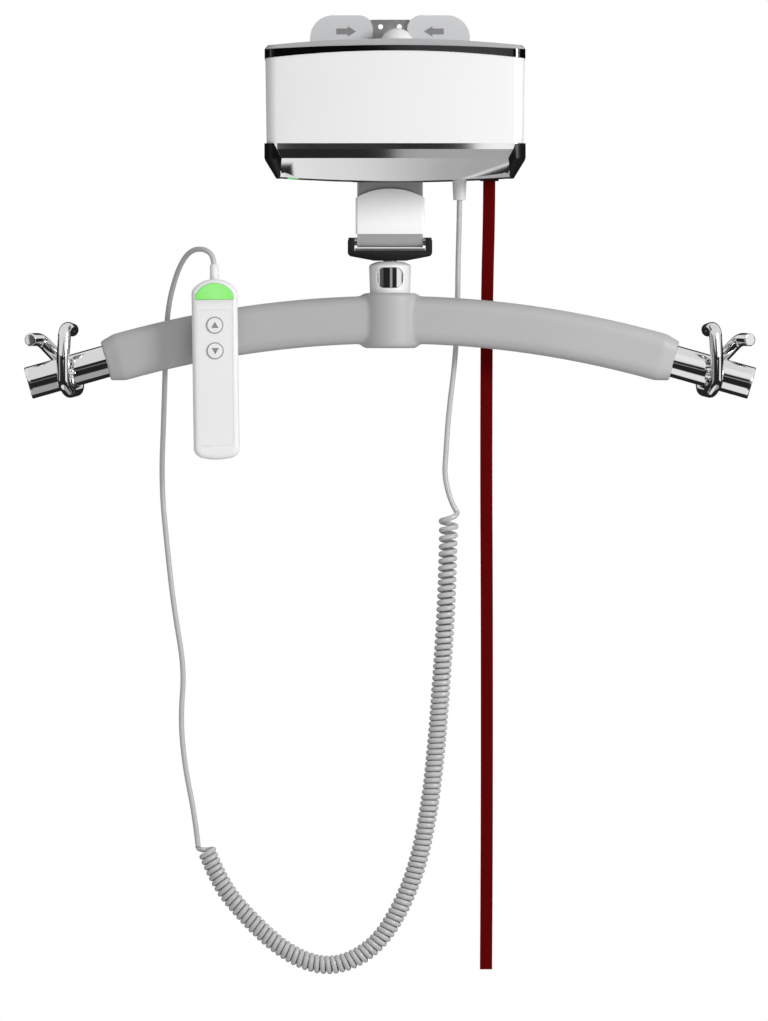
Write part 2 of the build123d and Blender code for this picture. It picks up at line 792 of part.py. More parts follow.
with BuildPart() as strap_roll:
    with BuildSketch(Plane.YZ.offset(-strap_width / 2)):
        with Locations((drum_y, drum_z)):
            Circle(roll_radius)
            Circle(drum_hub_radius, mode=Mode.SUBTRACT)
    extrude(amount=strap_width)
strap_roll.part.label = "strap_roll"
export_step(strap_roll.part, "parts/strap_roll.step")

# Emergency pull strap and the anchor that it hangs from inside the casing
pull_route = [
    (pull_x, pull_y, pull_top),
    (pull_x, pull_y, -160.0),
    (85.3, pull_y, -240.0),
    (84.7, pull_y, -390.0),
    (85.4, pull_y, -516.0),
    (85.3, pull_y, -733.0),
    (84.6, pull_y, -830.0),
]
anchor_height = 8.0
with BuildPart() as pull_anchor:
    with BuildSketch(Plane.XY.offset(pull_top)):
        with Locations((pull_x, pull_y)):
            RectangleRounded(pull_width + 5.0, 8.0, 1.5)
    extrude(amount=anchor_height)
pull_anchor.part.label = "pull_anchor"
export_step(pull_anchor.part, "parts/pull_anchor.step")

# Lifting strap: it leaves the roll, passes through the sleeve and loops round the bracket's pin
loop_radius = pin_radius + running_clearance + strap_thickness
loop_neck = sleeve_bottom + 3.0
with BuildPart() as lift_strap:
    with BuildSketch(Plane.YZ.offset(-strap_width / 2)):
        with BuildSketch(mode=Mode.PRIVATE) as loop:
            with Locations((0, pin_z)):
                Circle(loop_radius)
            with Locations((0, loop_neck)):
                Circle(strap_thickness)
            make_hull()
        with BuildSketch(mode=Mode.PRIVATE) as loop_hole:
            with Locations((0, pin_z)):
                Circle(pin_radius + running_clearance)
            with Locations((0, loop_neck - strap_thickness)):
                Circle(strap_thickness / 8)
            make_hull()
        add(loop.sketch)
        with Locations((0, (drum_z + loop_neck) / 2)):
            Rectangle(strap_thickness, drum_z - loop_neck)
        with Locations((0, (sleeve_top + loop_neck) / 2 - 6)):
            Rectangle(2 * strap_thickness, sleeve_top - loop_neck - 12)
        add(loop_hole.sketch, mode=Mode.SUBTRACT)
    extrude(amount=strap_width)
lift_strap.part.label = "lift_strap"
export_step(lift_strap.part, "parts/lift_strap.step")

# White sleeve over the sewn end of the strap; its domed top meets the limit switch
with BuildPart() as strap_sleeve:
    with BuildSketch(Plane.XZ):
        with BuildLine():
            half_sleeve = sleeve_width / 2
            ThreePointArc((-half_sleeve, sleeve_shoulder), (0, sleeve_top), (half_sleeve, sleeve_shoulder))
            Polyline(
                (half_sleeve, sleeve_shoulder),
                (half_sleeve, sleeve_bottom),
                (-half_sleeve, sleeve_bottom),
                (-half_sleeve, sleeve_shoulder),
            )
        make_face()
    extrude(amount=sleeve_depth / 2, both=True)
    fillet(strap_sleeve.edges().filter_by(Axis.Z), 2.5)
    add(lift_strap.part, mode=Mode.SUBTRACT)
    with BuildSketch(Plane.XY.offset(sleeve_bottom)):
        Rectangle(strap_width + 0.4, 2 * strap_thickness + 0.4)
    extrude(amount=sleeve_top - sleeve_bottom, mode=Mode.SUBTRACT)
strap_sleeve.part.label = "strap_sleeve"
export_step(strap_sleeve.part, "parts/strap_sleeve.step")

# Black stirrup bracket with a slot for the strap, a cross pin and a counterbore for the swivel stud
with BuildPart() as strap_bracket:
    with BuildSketch(Plane.XZ) as bracket_face:
        with BuildLine():
            Polyline(
                (-bracket_half_width, bracket_top),
                (bracket_half_width, bracket_top),
                (bracket_half_width, bracket_shoulder),
                (bracket_foot, bracket_bottom),
                (-bracket_foot, bracket_bottom),
                (-bracket_half_width, bracket_shoulder),
                close=True,
            )
        make_face()
        fillet(bracket_face.vertices().group_by(Axis.Y)[-1], 3.0)
        fillet(bracket_face.vertices().group_by(SortBy.DISTANCE)[-1], 4.0)
        with Locations((0, (bracket_top + bracket_slot_floor) / 2 + 5)):
            Rectangle(2 * bracket_slot, bracket_top - bracket_slot_floor + 10, mode=Mode.SUBTRACT)
    extrude(amount=bracket_depth / 2, both=True)
    with BuildSketch(Plane.YZ.offset(-bracket_half_width)):
        with Locations((0, pin_z)):
            Circle(pin_radius)
    extrude(amount=2 * bracket_half_width, mode=Mode.SUBTRACT)
    with BuildSketch(Plane.XY.offset(bracket_slot_floor)):
        Circle(stud_head_radius)
    extrude(amount=-stud_head, mode=Mode.SUBTRACT)
    with BuildSketch(Plane.XY.offset(bracket_slot_floor)):
        Circle(stud_radius)
    extrude(amount=bracket_bottom - bracket_slot_floor, mode=Mode.SUBTRACT)
strap_bracket.part.label = "strap_bracket"
export_step(strap_bracket.part, "parts/strap_bracket.step")

with BuildPart() as bracket_pin:
    with BuildSketch(Plane.YZ.offset(-bracket_half_width + 0.5)):
        with Locations((0, pin_z)):
            Circle(pin_radius)
    extrude(amount=2 * bracket_half_width - 1.0)
bracket_pin.part.label = "bracket_pin"
export_step(bracket_pin.part, "parts/bracket_pin.step")

# Bright plate on the slot's floor keeps the strap off the stud's head
with BuildPart() as bracket_wear_plate:
    with BuildSketch(Plane.XY.offset(bracket_slot_floor)):
        Rectangle(2 * bracket_slot - 0.6, bracket_depth + 0.8)
    extrude(amount=wear_plate)
    with BuildSketch(Plane.YZ.offset(-bracket_slot)):
        with Locations((0, pin_z)):
            Circle(loop_radius + 0.15)
    extrude(amount=2 * bracket_slot, mode=Mode.SUBTRACT)
    fillet(bracket_wear_plate.edges().filter_by(Axis.X).group_by(Axis.Y)[0], 0.8)
bracket_wear_plate.part.label = "bracket_wear_plate"
export_step(bracket_wear_plate.part, "parts/bracket_wear_plate.step")

# Swivel stud: head in the bracket, groove near its tip for the quick release
groove_depth = 1.5
groove_top = window_z + 3.0
groove_bottom = window_z - 3.0
with BuildPart() as swivel_stud:
    with BuildSketch(upright(0, 0)):
        with BuildLine():
            Polyline(
                (0, bracket_slot_floor),
                (stud_head_radius, bracket_slot_floor),
                (stud_head_radius, bracket_slot_floor - stud_head),
                (stud_radius, bracket_slot_floor - stud_head),
                (stud_radius, groove_top),
                (stud_radius - groove_depth, groove_top),
                (stud_radius - groove_depth, groove_bottom),
                (stud_radius, groove_bottom),
                (stud_radius, stud_tip + 1.5),
                (stud_radius - 1.5, stud_tip),
                (0, stud_tip),
                close=True,
            )
        make_face()
    revolve(axis=Axis.Z)
swivel_stud.part.label = "swivel_stud"
export_step(swivel_stud.part, "parts/swivel_stud.step")


def window_face(gap):
    """Rounded rectangle of the collar's window, drawn in by gap."""
    with BuildSketch() as face:
        with Locations((0, window_z)):
            RectangleRounded(window_width - 2 * gap, window_height - 2 * gap, window_round - gap)
    return face.sketch


# Quick-release collar: a domed white moulding with a window in front and at the back
with BuildPart() as release_collar:
    with BuildSketch(upright(0, 0)):
        with BuildLine():
            ThreePointArc(
                (collar_eye, collar_top),
                (collar_radius * 0.72, collar_top - 0.9),
                (collar_radius - 0.6, collar_shoulder + 1.2),
            )
            Polyline(
                (collar_radius - 0.6, collar_shoulder + 1.2),
                (collar_radius, collar_shoulder),
                (collar_foot_radius, hub_top),
                (collar_foot_radius - collar_wall, hub_top),
                (collar_foot_radius - collar_wall, collar_shoulder),
                (collar_eye, collar_shoulder),
                (collar_eye, collar_top),
            )
        make_face()
    revolve(axis=Axis.Z)
    with BuildSketch(Plane.XZ):
        add(window_face(0))
    extrude(amount=2 * collar_radius, both=True, mode=Mode.SUBTRACT)
release_collar.part.label = "release_collar"
export_step(release_collar.part, "parts/release_collar.step")

# The two release buttons are slices of a tube that fill the windows
with BuildPart() as release_button_front:
    with BuildSketch(Plane.XY.offset(window_z)):
        Circle(button_radius)
        Circle(button_radius - button_thickness, mode=Mode.SUBTRACT)
    extrude(amount=window_height / 2, both=True)
    with BuildSketch(Plane.XZ):
        add(window_face(button_gap))
    extrude(amount=2 * collar_radius, mode=Mode.INTERSECT)
release_button_front.part.label = "release_button_front"
export_step(release_button_front.part, "parts/release_button_front.step")

with BuildPart() as release_button_rear:
    mirror(release_button_front.part, about=Plane.XZ)
release_button_rear.part.label = "release_button_rear"
export_step(release_button_rear.part, "parts/release_button_rear.step")

# Spreader bar: a steel tube bent to an arc with straight ends
arc_x = bar_half_length - bar_straight
end_angle = asin(arc_x / bar_arc)
arc_z = bar_centre + bar_arc * cos(end_angle)
end_z = arc_z - (bar_half_length - arc_x) * tan(end_angle)
with BuildLine() as bar_line:
    Line((-bar_half_length, 0, end_z), (-arc_x, 0, arc_z))
    ThreePointArc((-arc_x, 0, arc_z), (0, 0, bar_z), (arc_x, 0, arc_z))
    Line((arc_x, 0, arc_z), (bar_half_length, 0, end_z))
bar_start = Plane(origin=bar_line.line @ 0, x_dir=(0, 1, 0), z_dir=bar_line.line % 0)

with BuildPart() as bar_core:
    with BuildSketch(bar_start):
        Circle(tube_radius)
    sweep(path=bar_line.line)

with BuildPart() as bar_tube:
    with BuildSketch(bar_start):
        Circle(tube_radius)
        Circle(tube_radius - tube_wall, mode=Mode.SUBTRACT)
    sweep(path=bar_line.line)
bar_tube.part.label = "bar_tube"
export_step(bar_tube.part, "parts/bar_tube.step")

# Moulded pad over the tube: two wings with tapered ends and an upright hub round the boss
pad_angle = asin(pad_half_length / bar_arc)
pad_z = bar_centre + bar_arc * cos(pad_angle)
pad_out = Vector(cos(pad_angle), 0, -sin(pad_angle))
with BuildLine() as pad_line:
    ThreePointArc((-pad_half_length, 0, pad_z), (0, 0, bar_z), (pad_half_length, 0, pad_z))
with BuildPart() as bar_pad:
    with BuildSketch(Plane(origin=pad_line.line @ 0, x_dir=(0, 1, 0), z_dir=pad_line.line % 0)):
        RectangleRounded(pad_depth, pad_height, pad_round)
    sweep(path=pad_line.line)
    pad_edge_plane = Plane(origin=pad_line.line @ 1, x_dir=(0, 1, 0), z_dir=pad_out)
    pad_tip_plane = pad_edge_plane.offset(pad_taper)
    with BuildPart(mode=Mode.PRIVATE) as pad_end:
        with BuildSketch(pad_edge_plane):
            RectangleRounded(pad_depth, pad_height, pad_round)
        with BuildSketch(pad_tip_plane):
            RectangleRounded(pad_depth - pad_end_thin, pad_height - pad_end_drop, pad_round - 2)
        loft()
        fillet(pad_end.faces().sort_by(Axis.X)[-1].edges(), pad_edge)
    add(pad_end.part)
    mirror(pad_end.part, about=Plane.YZ)
    with BuildPart(mode=Mode.PRIVATE) as hub:
        with BuildSketch(Plane.XY.offset(hub_bottom)):
            Circle(hub_radius)
        extrude(amount=hub_top - hub_bottom)
        fillet(hub.edges().filter_by(GeomType.CIRCLE), hub_edge)
    add(hub.part)
    add(bar_core.part, mode=Mode.SUBTRACT)
    with BuildSketch(Plane.XY.offset(hub_top)):
        Circle(boss_radius)
    extrude(amount=bar_z - hub_top, mode=Mode.SUBTRACT)
bar_pad.part.label = "bar_pad"
export_step(bar_pad.part, "parts/bar_pad.step")

# Boss welded on the tube, and the socket that the stud turns in
socket_flange = 3.0
with BuildPart() as hub_boss:
    with BuildSketch(Plane.XY.offset(hub_top)):
        Circle(boss_radius)
    extrude(amount=bar_z - hub_top)
    add(bar_core.part, mode=Mode.SUBTRACT)
hub_boss.part.label = "hub_boss"
export_step(hub_boss.part, "parts/hub_boss.step")

with BuildPart() as stud_socket:
    with BuildSketch(Plane.XY.offset(hub_top)):
        Circle(boss_radius - 0.6)
    extrude(amount=socket_flange)
    with BuildSketch(Plane.XY.offset(hub_top + socket_flange)):
        Circle(socket_radius)
    extrude(amount=collar_shoulder - 0.5 - hub_top - socket_flange)
    with BuildSketch(Plane.XY.offset(stud_tip - 0.4)):
        Circle(stud_radius + running_clearance)
    extrude(amount=30, mode=Mode.SUBTRACT)
    fillet(stud_socket.edges().filter_by(GeomType.CIRCLE).group_by(Axis.Z)[1].sort_by(SortBy.RADIUS)[0], 0.3)
stud_socket.part.label = "stud_socket"
export_step(stud_socket.part, "parts/stud_socket.step")

# End caps close the tube's ends
end_out = Vector(cos(end_angle), 0, -sin(end_angle))
end_face = Plane(origin=(bar_half_length, 0, end_z), x_dir=(0, 1, 0), z_dir=end_out)
with BuildPart() as bar_end_caps:
    with BuildSketch(end_face):
        Circle(tube_radius)
    extrude(amount=end_cap)
    fillet(bar_end_caps.edges().filter_by(GeomType.CIRCLE).sort_by(Axis.X)[-1], 1.0)
    with BuildSketch(end_face):
        Circle(tube_radius - tube_wall - running_clearance)
    extrude(amount=-end_plug)
    mirror(about=Plane.YZ)
bar_end_caps.part.label = "bar_end_caps"
export_step(bar_end_caps.part, "parts/bar_end_caps.step")

# Sling hooks: one bent rod each, seated on the tube. Points give the way out along the bar, the depth
# (front is negative) and the height off the bar's centreline.
seat = tube_radius + rod_diameter / 2 - weld_bite
hook_points = [
    (-19.5, 0.0, 34.0),
    (-13.5, 3.5 - seat, 38.5),
    (-4.0, -seat, 12.0),
    (1.5, 1.0 - seat, -8.0),
    (-1.5, -8.0, 2.0 - seat),
    (-8.5, 8.0, 2.0 - seat),
    (-12.0, seat - 1.0, -8.5),
    (10.5, seat - 1.5, 34.5),
    (19.5, 2.0, 36.5),
]
hook_bends = [7.5, 40.0, 9.0, 7.5, 7.5, 9.0, 8.5]
hook_z = arc_z - (hook_x - arc_x) * tan(end_angle)
bar_out = Vector(-cos(end_angle), 0, -sin(end_angle))
bar_up = Vector(-sin(end_angle), 0, cos(end_angle))
hook_seat = Vector(-hook_x, 0, hook_z)
hook_path = [hook_seat + bar_out * out + Vector(0, depth, 0) + bar_up * up for out, depth, up in hook_points]
with BuildPart() as sling_hook_left:
    with BuildLine() as hook_line:
        FilletPolyline(*hook_path, radius=hook_bends)
    with BuildSketch(Plane(origin=hook_line.line @ 0, z_dir=hook_line.line % 0)):
        Circle(rod_diameter / 2)
    sweep()
    fillet(sling_hook_left.faces().filter_by(GeomType.PLANE).edges(), 1.2)
    add(bar_core.part, mode=Mode.SUBTRACT)
sling_hook_left.part.label = "sling_hook_left"
export_step(sling_hook_left.part, "parts/sling_hook_left.step")

with BuildPart() as sling_hook_right:
    mirror(sling_hook_left.part, about=Plane.YZ)
sling_hook_right.part.label = "sling_hook_right"
export_step(sling_hook_right.part, "parts/sling_hook_right.step")

# Hand control: its planes lean a little, with local X across the case and local Y up it
lean = radians(handset_lean)
handset_right = (cos(lean), 0, sin(lean))


def handset_plane(y):
    """Plane across the hand control at depth y, facing the front."""
    return Plane(origin=(handset_x, y, handset_z), x_dir=handset_right, z_dir=(0, -1, 0))


def handset_outline(inset):
    """Outline of the hand control drawn in by inset: domed top, straight sides, slightly round foot."""
    half_width = handset_width / 2 - inset
    top = handset_height / 2 - inset
    foot = -handset_height / 2 + inset
    with BuildSketch() as outline:
        with BuildLine():
            ThreePointArc((-half_width, top - handset_crown), (0, top), (half_width, top - handset_crown))
            Line((half_width, top - handset_crown), (half_width, foot + handset_chin))
            ThreePointArc((half_width, foot + handset_chin), (0, foot), (-half_width, foot + handset_chin))
            Line((-half_width, foot + handset_chin), (-half_width, top - handset_crown))
        make_face()
        fillet(outline.vertices().group_by(Axis.Y)[-1], max(handset_corner - 3 - inset, 1.0))
        fillet(outline.vertices().group_by(Axis.Y)[0], max(handset_corner - inset, 1.5))
    return outline.sketch


def lens_outline(gap):
    """Outline of the lamp lens at the top of the hand control, smaller all round by gap."""
    with BuildSketch() as outline:
        add(handset_outline(lens_rim + gap))
        with Locations((0, lens_bottom + gap - handset_height)):
            Rectangle(handset_width, 2 * handset_height, mode=Mode.SUBTRACT)
    return outline.sketch


with BuildPart() as handset_front_shell:
    with BuildSketch(handset_plane(handset_front + handset_split)):
        add(handset_outline(0))
    extrude(amount=handset_split)
    fillet(handset_front_shell.faces().sort_by(Axis.Y)[0].edges(), handset_edge)
    with BuildSketch(handset_plane(handset_front + handset_split)):
        add(handset_outline(handset_wall))
    extrude(amount=handset_split - handset_wall - 1.5, mode=Mode.SUBTRACT)
    with BuildSketch(handset_plane(handset_front + 6.0)):
        add(handset_outline(lens_rim))
        with Locations((0, lens_bottom - handset_height)):
            Rectangle(handset_width, 2 * handset_height, mode=Mode.SUBTRACT)
    extrude(amount=10.0, mode=Mode.SUBTRACT)
    with BuildSketch(handset_plane(handset_front + overlay_depth)):
        with Locations((0, (overlay_top + overlay_bottom) / 2)):
            RectangleRounded(overlay_width + 0.2, overlay_top - overlay_bottom + 0.2, 3.1)
    extrude(amount=5.0, mode=Mode.SUBTRACT)
    with BuildSketch(handset_plane(handset_front + 6.0)):
        with Locations((0, key_up), (0, key_down)):
            Circle(key_radius + key_gap)
    extrude(amount=10.0, mode=Mode.SUBTRACT)
handset_front_shell.part.label = "handset_front_shell"
export_step(handset_front_shell.part, "parts/handset_front_shell.step")

# Case screws in the back of the hand control
case_screw = 1.6
case_screw_low = 17.4 - handset_height / 2
case_screw_high = 8.0
with BuildPart() as handset_screws:
    with BuildSketch(handset_plane(handset_back)):
        with Locations((0, case_screw_low), (0, case_screw_high)):
            Circle(2 * case_screw)
    extrude(amount=-0.6)
    with BuildSketch(handset_plane(handset_back)):
        with Locations((0, case_screw_low), (0, case_screw_high)):
            Circle(case_screw)
    extrude(amount=handset_wall)
handset_screws.part.label = "handset_screws"
export_step(handset_screws.part, "parts/handset_screws.step")

handset_top_z = handset_z + handset_height / 2
boot_x = handset_x - sin(lean) * handset_height / 2
with BuildPart() as handset_rear_shell:
    with BuildSketch(handset_plane(handset_back)):
        add(handset_outline(0))
    extrude(amount=handset_depth - handset_split)
    fillet(handset_rear_shell.faces().sort_by(Axis.Y)[-1].edges(), handset_edge)
    with BuildSketch(handset_plane(handset_front + handset_split)):
        add(handset_outline(handset_wall))
    extrude(amount=-(handset_depth - handset_split - handset_wall), mode=Mode.SUBTRACT)
    add(handset_screws.part, mode=Mode.SUBTRACT)
handset_rear_shell.part.label = "handset_rear_shell"
export_step(handset_rear_shell.part, "parts/handset_rear_shell.step")

with BuildPart() as handset_lens:
    with BuildSketch(handset_plane(handset_front + 4.5)):
        add(lens_outline(0.15))
    extrude(amount=4.7)
    fillet(handset_lens.faces().sort_by(Axis.Y)[0].edges(), 1.2)
handset_lens.part.label = "handset_lens"
export_step(handset_lens.part, "parts/handset_lens.step")

with BuildPart() as handset_overlay:
    with BuildSketch(handset_plane(handset_front + overlay_depth)):
        with Locations((0, (overlay_top + overlay_bottom) / 2)):
            RectangleRounded(overlay_width, overlay_top - overlay_bottom, 3.0)
        with Locations((0, key_up), (0, key_down)):
            Circle(key_radius + key_gap, mode=Mode.SUBTRACT)
    extrude(amount=overlay_depth - 0.15)
handset_overlay.part.label = "handset_overlay"
export_step(handset_overlay.part, "parts/handset_overlay.step")

# The two keys stand a little proud of the overlay and are pressed towards the back
key_proud = 0.9
key_height = 4.6
for key_name, key_place in (("up_button", key_up), ("down_button", key_down)):
    with BuildPart() as key:
        with BuildSketch(handset_plane(handset_front - key_proud + key_height)):
            with Locations((0, key_place)):
                Circle(key_radius)
        extrude(amount=key_height)
        fillet(key.edges().filter_by(GeomType.CIRCLE).sort_by(Axis.Y)[0], 0.8)
    key.part.label = key_name
    export_step(key.part, f"parts/{key_name}.step")

# Handset board carries the two switches behind the keys
with BuildPart() as handset_board:
    with BuildSketch(handset_plane(handset_front + 8.6)):
        with Locations((0, 12)):
            RectangleRounded(handset_width - 2 * handset_wall - 3.0, 92, 3.0)
    extrude(amount=1.6)
    with BuildSketch(handset_plane(handset_front + 7.0)):
        with Locations((0, key_up), (0, key_down)):
            Rectangle(6.0, 6.0)
    extrude(amount=2.4)
handset_board.part.label = "handset_board"
export_step(handset_board.part, "parts/handset_board.step")

# Cord boot on top of the case, with a bore for the cord
boot_y = handset_front + handset_split
boot_foot = handset_top_z - 1.0
boot_top = handset_top_z + boot_length - 3.0
boot_bore = 6.0
with BuildPart() as handset_boot:
    with BuildSketch(upright(boot_x, boot_y)):
        with BuildLine():
            Polyline(
                (0, boot_foot),
                (boot_radius, boot_foot),
                (boot_radius, boot_top - 0.8),
                (boot_radius - 0.6, boot_top),
                (cord_radius + running_clearance, boot_top),
                (cord_radius + running_clearance, boot_top - boot_bore),
                (0, boot_top - boot_bore),
                close=True,
            )
        make_face()
    revolve(axis=upright_axis(boot_x, boot_y))
    add(handset_front_shell.part, mode=Mode.SUBTRACT)
    add(handset_rear_shell.part, mode=Mode.SUBTRACT)
handset_boot.part.label = "handset_boot"
export_step(handset_boot.part, "parts/handset_boot.step")

# Strip hook on the back of the hand control hangs over the bar
pad_front = -pad_depth / 2
hook_reach = bar_centre + sqrt(bar_arc**2 - (abs(handset_x) - hook_width / 2) ** 2)
hook_saddle = hook_reach + pad_height / 2 / cos(asin(abs(handset_x) / bar_arc)) + hook_gap
with BuildPart() as handset_hook:
    with BuildSketch(Plane.YZ.offset(handset_x - hook_width / 2)):
        with BuildLine():
            FilletPolyline(
                (handset_back, handset_z + 20),
                (handset_back, hook_saddle + hook_strip),
                (-pad_front + hook_gap + hook_strip, hook_saddle + hook_strip),
                (-pad_front + hook_gap + hook_strip, hook_saddle - hook_drop),
                radius=6.0,
            )
            Line((-pad_front + hook_gap + hook_strip, hook_saddle - hook_drop),
                 (-pad_front + hook_gap, hook_saddle - hook_drop))
            FilletPolyline(
                (-pad_front + hook_gap, hook_saddle - hook_drop),
                (-pad_front + hook_gap, hook_saddle),
                (handset_back + hook_strip, hook_saddle),
                (handset_back + hook_strip, handset_z + 20),
                radius=3.0,
            )
            Line((handset_back + hook_strip, handset_z + 20), (handset_back, handset_z + 20))
        make_face()
    extrude(amount=hook_width)
handset_hook.part.label = "handset_hook"
export_step(handset_hook.part, "parts/handset_hook.step")


def bend_radii(points):
    """Arc at each corner of a route: 0.45 of its shorter run over the tangent of half the turn."""
    radii = []
    for before, corner, after in zip(points, points[1:], points[2:]):
        run_in = Vector(*corner) - Vector(*before)
        run_out = Vector(*after) - Vector(*corner)
        turn = radians(run_in.get_angle(run_out))
        radii.append(0.45 * min(run_in.length, run_out.length) / tan(turn / 2))
    return radii


def route_line(points):
    """Straight runs between the points of a route, joined by tangent arcs."""
    with BuildLine() as route:
        FilletPolyline(*points, radius=bend_radii(points))
    return route.wires()[0]


# Routes of the hand control's cord, from the gland down to the coil, along the coil's axis, and from the
# coil up behind the bar and over it to the boot
upper_route = [
    (61.2, 30.0, -152.0),
    (60.9, 30.0, -178.0),
    (59.9, 30.0, -208.0),
    (59.6, 30.0, -252.0),
    (57.2, 30.0, -296.0),
    (51.6, 30.0, -340.0),
    (49.2, 30.0, -376.0),
    (47.9, 30.0, -396.0),
    (52.33, 30.0, -414.0),
    (52.0, 30.0, -427.0),
]
coil_route = [
    (52.0, 30.0, -427.0),
    (51.0, 30.0, -466.0),
    (49.3, 30.0, -516.0),
    (45.3, 30.0, -575.0),
    (41.0, 30.0, -633.0),
    (34.6, 30.0, -690.0),
    (22.6, 30.0, -747.0),
    (-2.0, 30.0, -798.0),
    (-30.0, 30.0, -822.0),
    (-60.0, 30.0, -828.0),
    (-92.0, 30.0, -815.0),
    (-124.0, 30.0, -786.0),
    (-151.5, 30.0, -752.9),
    (-163.5, 30.0, -720.0),
]
lower_route = [
    (-163.5, 30.0, -720.0),
    (-173.0, 30.0, -694.0),
    (-181.0, 30.0, -650.0),
    (-184.6, 30.0, -608.0),
    (-181.0, 30.0, -566.0),
    (-190.0, 30.0, -514.0),
    (-196.0, 30.0, -462.0),
    (-201.6, 30.0, -402.0),
    (-199.2, 30.0, -342.0),
    (-197.8, 30.0, -292.0),
]
loop_route = [
    (-197.8, 30.0, -292.0),
    (-197.1, 30.0, -267.0),
    (-195.0, 26.0, -245.0),
    (-190.6, 14.0, -226.0),
    (-184.0, -3.0, -208.0),
    (-175.0, -20.0, -196.5),
    (-163.0, -34.0, -195.5),
    (boot_x, boot_y, boot_top + 7.0),
    (boot_x, boot_y, boot_top - boot_bore + 0.5),
]
for cord_name, cord_route in (
    ("cord_upper_lead", upper_route),
    ("cord_lower_lead", lower_route),
    ("cord_loop", loop_route),
):
    cord_line = route_line(cord_route)
    print(cord_name, "length", round(cord_line.length, 1))
    print(cord_name, "radii", [round(radius) for radius in bend_radii(cord_route)])
    with BuildPart() as cord:
        with BuildSketch(Plane(origin=cord_line @ 0, z_dir=cord_line % 0)):
            Circle(cord_radius)
        sweep(path=cord_line)
    print(cord_name, "volume", round(cord.part.volume), "of", round(cord_line.length * pi * cord_radius**2))
    cord.part.label = cord_name
    export_step(cord.part, f"parts/{cord_name}.step")

# The curly stretch winds round its own axis. It leaves the axis slowly in its first curl and comes back
# to it in its last, and its two ends run straight for one diameter of the cord.
coil_line = route_line(coil_route)
curl_share = cord_diameter / coil_line.length
curl_radius = (coil_outside - cord_diameter) / 2
curl_side = Vector(0, 1, 0)


def curl_point(turn):
    """Point of the curly cord's centreline after a number of turns."""
    place = curl_share + (1 - 2 * curl_share) * turn / curls
    across = curl_side.cross(coil_line % place).normalized()
    opened = min(turn, curls - turn, curl_ease) / curl_ease
    reach = curl_radius * opened**2 * (3 - 2 * opened)
    angle = 2 * pi * turn
    return coil_line @ place + across * (reach * cos(angle)) + curl_side * (reach * sin(angle))


def curl_direction(turn):
    """Direction of the curly cord's centreline after a number of turns."""
    step = 0.002
    if turn <= 0:
        return coil_line % 0
    if turn >= curls:
        return coil_line % 1
    return (curl_point(turn + step) - curl_point(turn - step)).normalized()


def two_arcs(start, direction, end, end_direction):
    """Two arcs, tangent to each other, that leave start and reach end in the given directions."""
    chord = end - start
    spread = 2 * (1 - direction.dot(end_direction))
    lean = chord.dot(direction + end_direction)
    arm = (sqrt(lean**2 + spread * chord.dot(chord)) - lean) / spread
    join = (start + end + (direction - end_direction) * arm) / 2
    join_direction = end - end_direction * arm - start - direction * arm
    return [Edge.make_tangent_arc(start, direction, join), Edge.make_tangent_arc(join, join_direction, end)]


curl_edges = [Edge.make_line(coil_line @ 0, curl_point(0))]
for half_turn in range(2 * curls):
    here = half_turn / 2
    there = here + 0.5
    curl_edges += two_arcs(curl_point(here), curl_direction(here), curl_point(there), curl_direction(there))
curl_edges.append(Edge.make_line(curl_point(curls), coil_line @ 1))
with BuildPart() as cord_coil:
    with BuildLine(mode=Mode.PRIVATE) as curl_path:
        add(curl_edges)
    curl_wire = curl_path.wires()[0]
    with BuildSketch(Plane(origin=curl_wire @ 0, z_dir=curl_wire % 0)):
        Circle(cord_radius)
    sweep(path=curl_wire, clean=False)
cord_coil.part.label = "cord_coil"
export_step(cord_coil.part, "parts/cord_coil.step")

# Least gap of the curly cord to itself, between points a few diameters or more apart along the cord
turn_points = 40
turn_places = [curl_wire @ (number / (curls * turn_points)) for number in range(curls * turn_points + 1)]
least = coil_line.length
for number, place in enumerate(turn_places):
    for other in turn_places[number + turn_points // 4 : number + 2 * turn_points]:
        least = min(least, (place - other).length)
print("cord_coil length", round(curl_wire.length, 1), "axis", round(coil_line.length, 1))
print("cord_coil volume", round(cord_coil.part.volume), "of", round(curl_wire.length * pi * cord_radius**2))
print("cord_coil least gap to itself", round(least - cord_diameter, 2))

pull_line = route_line(pull_route)
with BuildPart() as pull_strap:
    with BuildSketch(Plane(origin=pull_line @ 0, x_dir=(1, 0, 0), z_dir=pull_line % 0)):
        Rectangle(pull_width, pull_thickness)
    sweep(path=pull_line)
print("pull_strap length", round(pull_line.length, 1))
pull_strap.part.label = "pull_strap"
export_step(pull_strap.part, "parts/pull_strap.step")
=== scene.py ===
"""Looks of a ceiling track hoist: finishes, cords, straps, printed marks, light and camera.

The solid model is loaded first and stays where it is. Every piece made here is in metres in the same
frame: +X runs along the track and the spreader bar, the front faces -Y and +Z is up.
"""

from __future__ import annotations

import logging
import math
from collections.abc import Callable, Sequence
from dataclasses import dataclass, field
from enum import Enum
from itertools import accumulate

import bmesh
import bpy
from mathutils import Matrix, Vector

